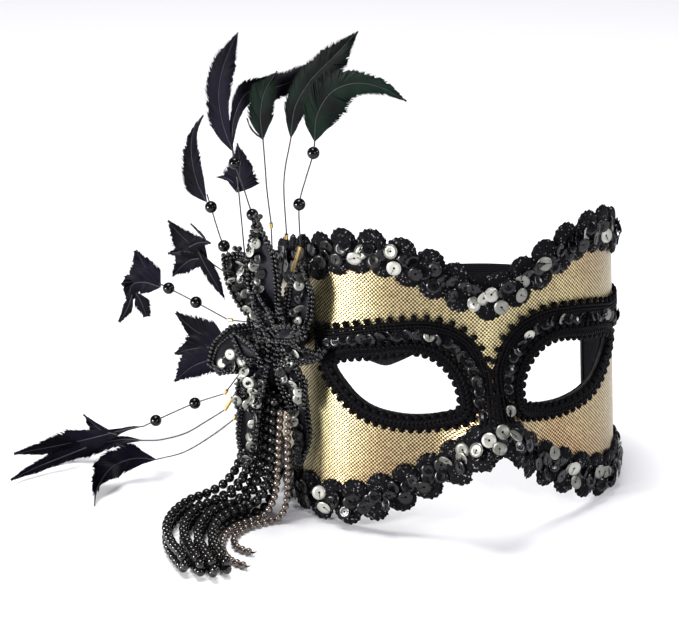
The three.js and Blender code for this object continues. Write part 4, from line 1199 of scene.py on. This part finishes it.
# ---- bead strands --------------------------------------------------------------------------------
# Routes in the mask's own frame. Each loop folds over its far end and comes back above itself.
PEARL_LOOPS = [
    [
        (-85.1, 48.9, 51), (-86.3, 49.3, 38), (-87.8, 50.6, 24), (-90.8, 52.6, 12), (-97, 53.4, 4.6),
        (-105.5, 50.6, 2.25), (-115.5, 45.5, 2.25), (-123.5, 36.5, 2.25), (-129, 25, 2.25),
        (-130.2, 12, 2.25), (-128.6, -1, 2.25), (-127.8, -7.2, 3.6), (-127.7, -7.8, 6.8),
        (-128.7, -4.2, 8.6), (-130.1, 8, 7.4), (-129.2, 24, 6.8), (-123.9, 35.9, 6.8),
        (-115.8, 44.9, 6.8), (-106.2, 49.8, 7), (-100, 50.8, 9.6), (-95.4, 49.4, 16), (-92.2, 47, 26),
        (-89.9, 45.8, 38), (-87.8, 45.6, 51),
    ],
    [
        (-83.7, 44.9, 51), (-84.8, 45, 38), (-86.2, 45.9, 24), (-88.9, 46.8, 12), (-94.2, 45.9, 4.6),
        (-101.5, 43, 2.25), (-110.5, 39, 2.25), (-117.8, 31.5, 2.25), (-122.6, 21, 2.25),
        (-123.7, 8, 2.25), (-122.9, -6, 2.25), (-122.3, -11.6, 3.6), (-122.2, -12.2, 6.8),
        (-123.1, -9, 8.6), (-123.7, 3, 7.4), (-122.9, 20, 6.8), (-118.3, 31, 6.8), (-111, 38.4, 6.8),
        (-102.3, 42.2, 7), (-97.2, 42.8, 9.6), (-93.2, 42.4, 16), (-90.2, 41.9, 26), (-88.2, 41.6, 38),
        (-86.4, 41.7, 51),
    ],
    [
        (-79.6, 44.2, 51), (-80.6, 43.8, 38), (-81.9, 43.6, 24), (-84, 43, 12), (-88.6, 41.2, 4.6),
        (-95.5, 39, 2.25), (-104.6, 35.2, 2.25), (-112, 28, 2.25), (-117.3, 18, 2.25), (-118.7, 6, 2.25),
        (-118, -8, 2.25), (-117.2, -14, 3.6), (-117.1, -14.6, 6.8), (-118.1, -11.4, 8.6),
        (-118.8, 1, 7.4), (-117.5, 17, 6.8), (-112.5, 27.4, 6.8), (-105.2, 34.4, 6.8), (-96.4, 38.2, 7),
        (-91.4, 38.9, 9.6), (-87.8, 39, 16), (-85.4, 39.2, 26), (-83.9, 39.9, 38), (-82.3, 41, 51),
    ],
    [
        (-78.2, 40.3, 51), (-78.9, 39.6, 38), (-79.8, 38.8, 24), (-81.4, 37.6, 12), (-85.4, 36, 4.6),
        (-91, 34.9, 2.25), (-99.4, 32, 2.25), (-106.8, 25.6, 2.25), (-111.8, 16, 2.25),
        (-113.3, 4.5, 2.25), (-112.8, -7, 2.25), (-112, -12.6, 3.6), (-111.9, -13.2, 6.8),
        (-112.9, -10, 8.6), (-113.5, 1, 7.4), (-112.1, 15, 6.8), (-107.3, 24.8, 6.8), (-100, 31.2, 6.8),
        (-92, 34.4, 7), (-87.8, 34.6, 9.6), (-84.8, 34.4, 16), (-83, 34.7, 26), (-82, 35.6, 38),
        (-80.9, 37.1, 51),
    ],
]
GREY_STRANDS = [
    [
        (-79.5, 32.4, 48), (-80.3, 31.8, 36), (-81.2, 30.8, 22), (-83, 30.2, 11), (-86.6, 30.4, 4),
        (-91, 30.8, 1.75), (-97.6, 28.2, 1.75), (-103.8, 23, 1.75), (-108, 14.5, 1.75),
        (-109.4, 5, 1.75), (-107.8, -2, 1.75), (-104.2, -7, 1.75),
    ],
    [
        (-76.8, 30.2, 47), (-77.4, 29, 36), (-77.6, 28.2, 22), (-78.2, 28, 10), (-80.6, 28.4, 3.4),
        (-84.6, 28.2, 1.75), (-89.6, 27, 1.75), (-96, 24.4, 1.75), (-100.8, 20, 1.75),
        (-103.4, 14, 1.75), (-103, 8, 1.75), (-99.6, 3.8, 1.75),
    ],
]


def add_fray(shape, line, radius):
    """Loose thread ends that spread from the last bead of a string."""
    ahead = unit(line[-1] - line[-2])
    side = unit(np.cross(ahead, UP))
    for spread in FRAY_SPREADS:
        far = radius * np.array([[0.6], [1.4], [2.0]])
        swing = spread * np.array([[0.1], [0.5], [1.0]])
        add_tube(shape, line[-1] + far * ahead + swing * side, FRAY_RADIUS, 6, 1)


def strand(name, node, route, radius, material, slot, far_end):
    """A string of touching pearls along a route on the table."""
    curve = smooth(route, 60 * len(route))
    line = evenly(curve, 2 * radius + 0.05)
    shape = Shape()
    shape.add_copies(PEARL_SHAPE, line, thread_axes(line), radius * 1.02)
    fine = evenly(curve, 1.0)
    add_tube(shape, fine, THREAD_RADIUS, 6)
    if far_end == "bare":
        add_fray(shape, line, radius)
    piece = shape.piece(name, "mask", slot, [material, BRAID], [node])


def make_strands():
    """The four pearl loops and the two grey strands."""
    for name, node, routes, radius, material, slot, far_end in (
        ("pearls", "pearl_loop", PEARL_LOOPS, PEARL_RADIUS, BLACK_PEARL, "black_pearl", "object"),
        ("grey_pearls", "grey_strand", GREY_STRANDS, GREY_RADIUS, GREY_PEARL, "grey_pearl", "bare"),
    ):
        for i, route in enumerate(routes, 1):
            strand(f"{name}_{i}", f"{node}_{i}", route, radius, material, slot, far_end)


# ---- head strap ----------------------------------------------------------------------------------
STRAP_HALF_ROUTE = [
    (64.4, 68, 65), (64.6, 80, 65), (63, 94, 64.4), (55, 110, 63), (39, 123, 61.4), (20, 130, 60.3),
    (0, 132, 60),
]
# The strap's section, in shares of its half thickness and half height.
STRAP_SECTION = [
    (1, -0.9), (1, 0), (1, 0.9), (0.6, 1), (-0.6, 1), (-1, 0.9), (-1, 0), (-1, -0.9), (-0.6, -1), (0.6, -1),
]


def make_strap():
    """A woven elastic band from one side of the mask to the other."""
    mirrored = [(-x, y, z) for x, y, z in STRAP_HALF_ROUTE[-2::-1]]
    line = evenly(smooth(STRAP_HALF_ROUTE + mirrored, 400), 1.0)
    along = directions(line)
    side = unit(np.stack([along[:, 1], -along[:, 0], np.zeros(len(along))], 1)) * STRAP_THICK / 2
    rings = np.stack([line + a * side + b * STRAP_HALF_HEIGHT * UP for a, b in STRAP_SECTION], 1)
    heights = [b * STRAP_HALF_HEIGHT for a, b in STRAP_SECTION]
    run, height = np.meshgrid(np.arange(len(line)), heights, indexing="ij")
    shape = Shape()
    pattern = np.stack([run, height], -1).reshape(-1, 2)
    shape.add(rings, grid_faces(len(line), len(heights), wrap=True), 0, pattern)
    strap = shape.piece("elastic_strap", "strap", "elastic", [ELASTIC], ["head_strap"])


# ---- stage ---------------------------------------------------------------------------------------
LIGHT_AIM = (0, 0, 0.08)
# Each light's place and size in metres, its power in watts and its colour.
LIGHTS = {
    "overhead": ((-0.1, 0.1, 1.5), 0.7, 23, (1, 1, 1)),
    "left": ((-1.15, -0.3, 0.24), 0.26, 24, (1, 1, 0.98)),
    "front": ((0.35, -1.2, 0.6), 0.18, 5, (1, 1, 1)),
    "right": ((1.0, -0.3, 0.6), 0.2, 5, (1, 1, 1)),
}
WORLD_COLOR, WORLD_STRENGTH = (0.85, 0.8, 1, 1), 0.2


def place_towards(name, data, place, aim):
    """A new object with this data, at a place and facing the aim."""
    made = bpy.data.objects.new(name, data)
    bpy.context.scene.collection.objects.link(made)
    made.location = place
    made.rotation_mode = "QUATERNION"
    made.rotation_quaternion = (Vector(aim) - Vector(place)).to_track_quat("-Z", "Y")
    return made


def make_light(name, place, size, power, color):
    light = bpy.data.lights.new(name, "AREA")
    light.shape = "DISK"
    light.size = size
    light.energy = power
    light.color = color
    place_towards(name, light, place, LIGHT_AIM)


def make_stage():
    """A white table, a dim world and the lights."""
    scene = bpy.context.scene
    bpy.ops.mesh.primitive_plane_add(size=8, location=(0, 0, 0))
    floor = bpy.context.object
    floor.name = "floor"
    floor.data.materials.append(Paint("white_table", (0.92, 0.92, 0.93), 0.7).material)
    world = scene.world or bpy.data.worlds.new("world")
    scene.world = world
    world.use_nodes = True
    background = world.node_tree.nodes["Background"].inputs
    background["Color"].default_value = WORLD_COLOR
    background["Strength"].default_value = WORLD_STRENGTH
    scene.view_settings.view_transform = "Standard"
    for name, settings in LIGHTS.items():
        make_light(name, *settings)


def make_camera():
    """A long lens in front of the mask, a little above it and to the flower's side."""
    camera = bpy.data.cameras.new("camera")
    camera.lens, camera.sensor_width = CAMERA_LENS, 36
    camera.clip_start, camera.clip_end = 0.05, 20
    place, aim = ((np.array(p) - ORIGIN) / 1000 for p in (CAMERA_PLACE, CAMERA_AIM))
    bpy.context.scene.camera = place_towards("camera", camera, place, aim)


make_camera()
make_stage()
make_strands()
make_face()
trim("top_scallops", "top_trim", TOP_LINE, 0.0, 900)
trim("bottom_scallops", "bottom_trim", BOTTOM_LINE, NOSE_NARROWING, 1500)
make_nose_sequins()
for label, side, first in (("right", -1, FLOWER_SIDE_START), ("left", 1, 0)):
    eye_gimp(label, side)
    brow(label, side, first)
    picot(label, side, first)
make_lining_tape()
make_lining_flap()
make_flower()
make_hub()
make_stems()
make_strap()
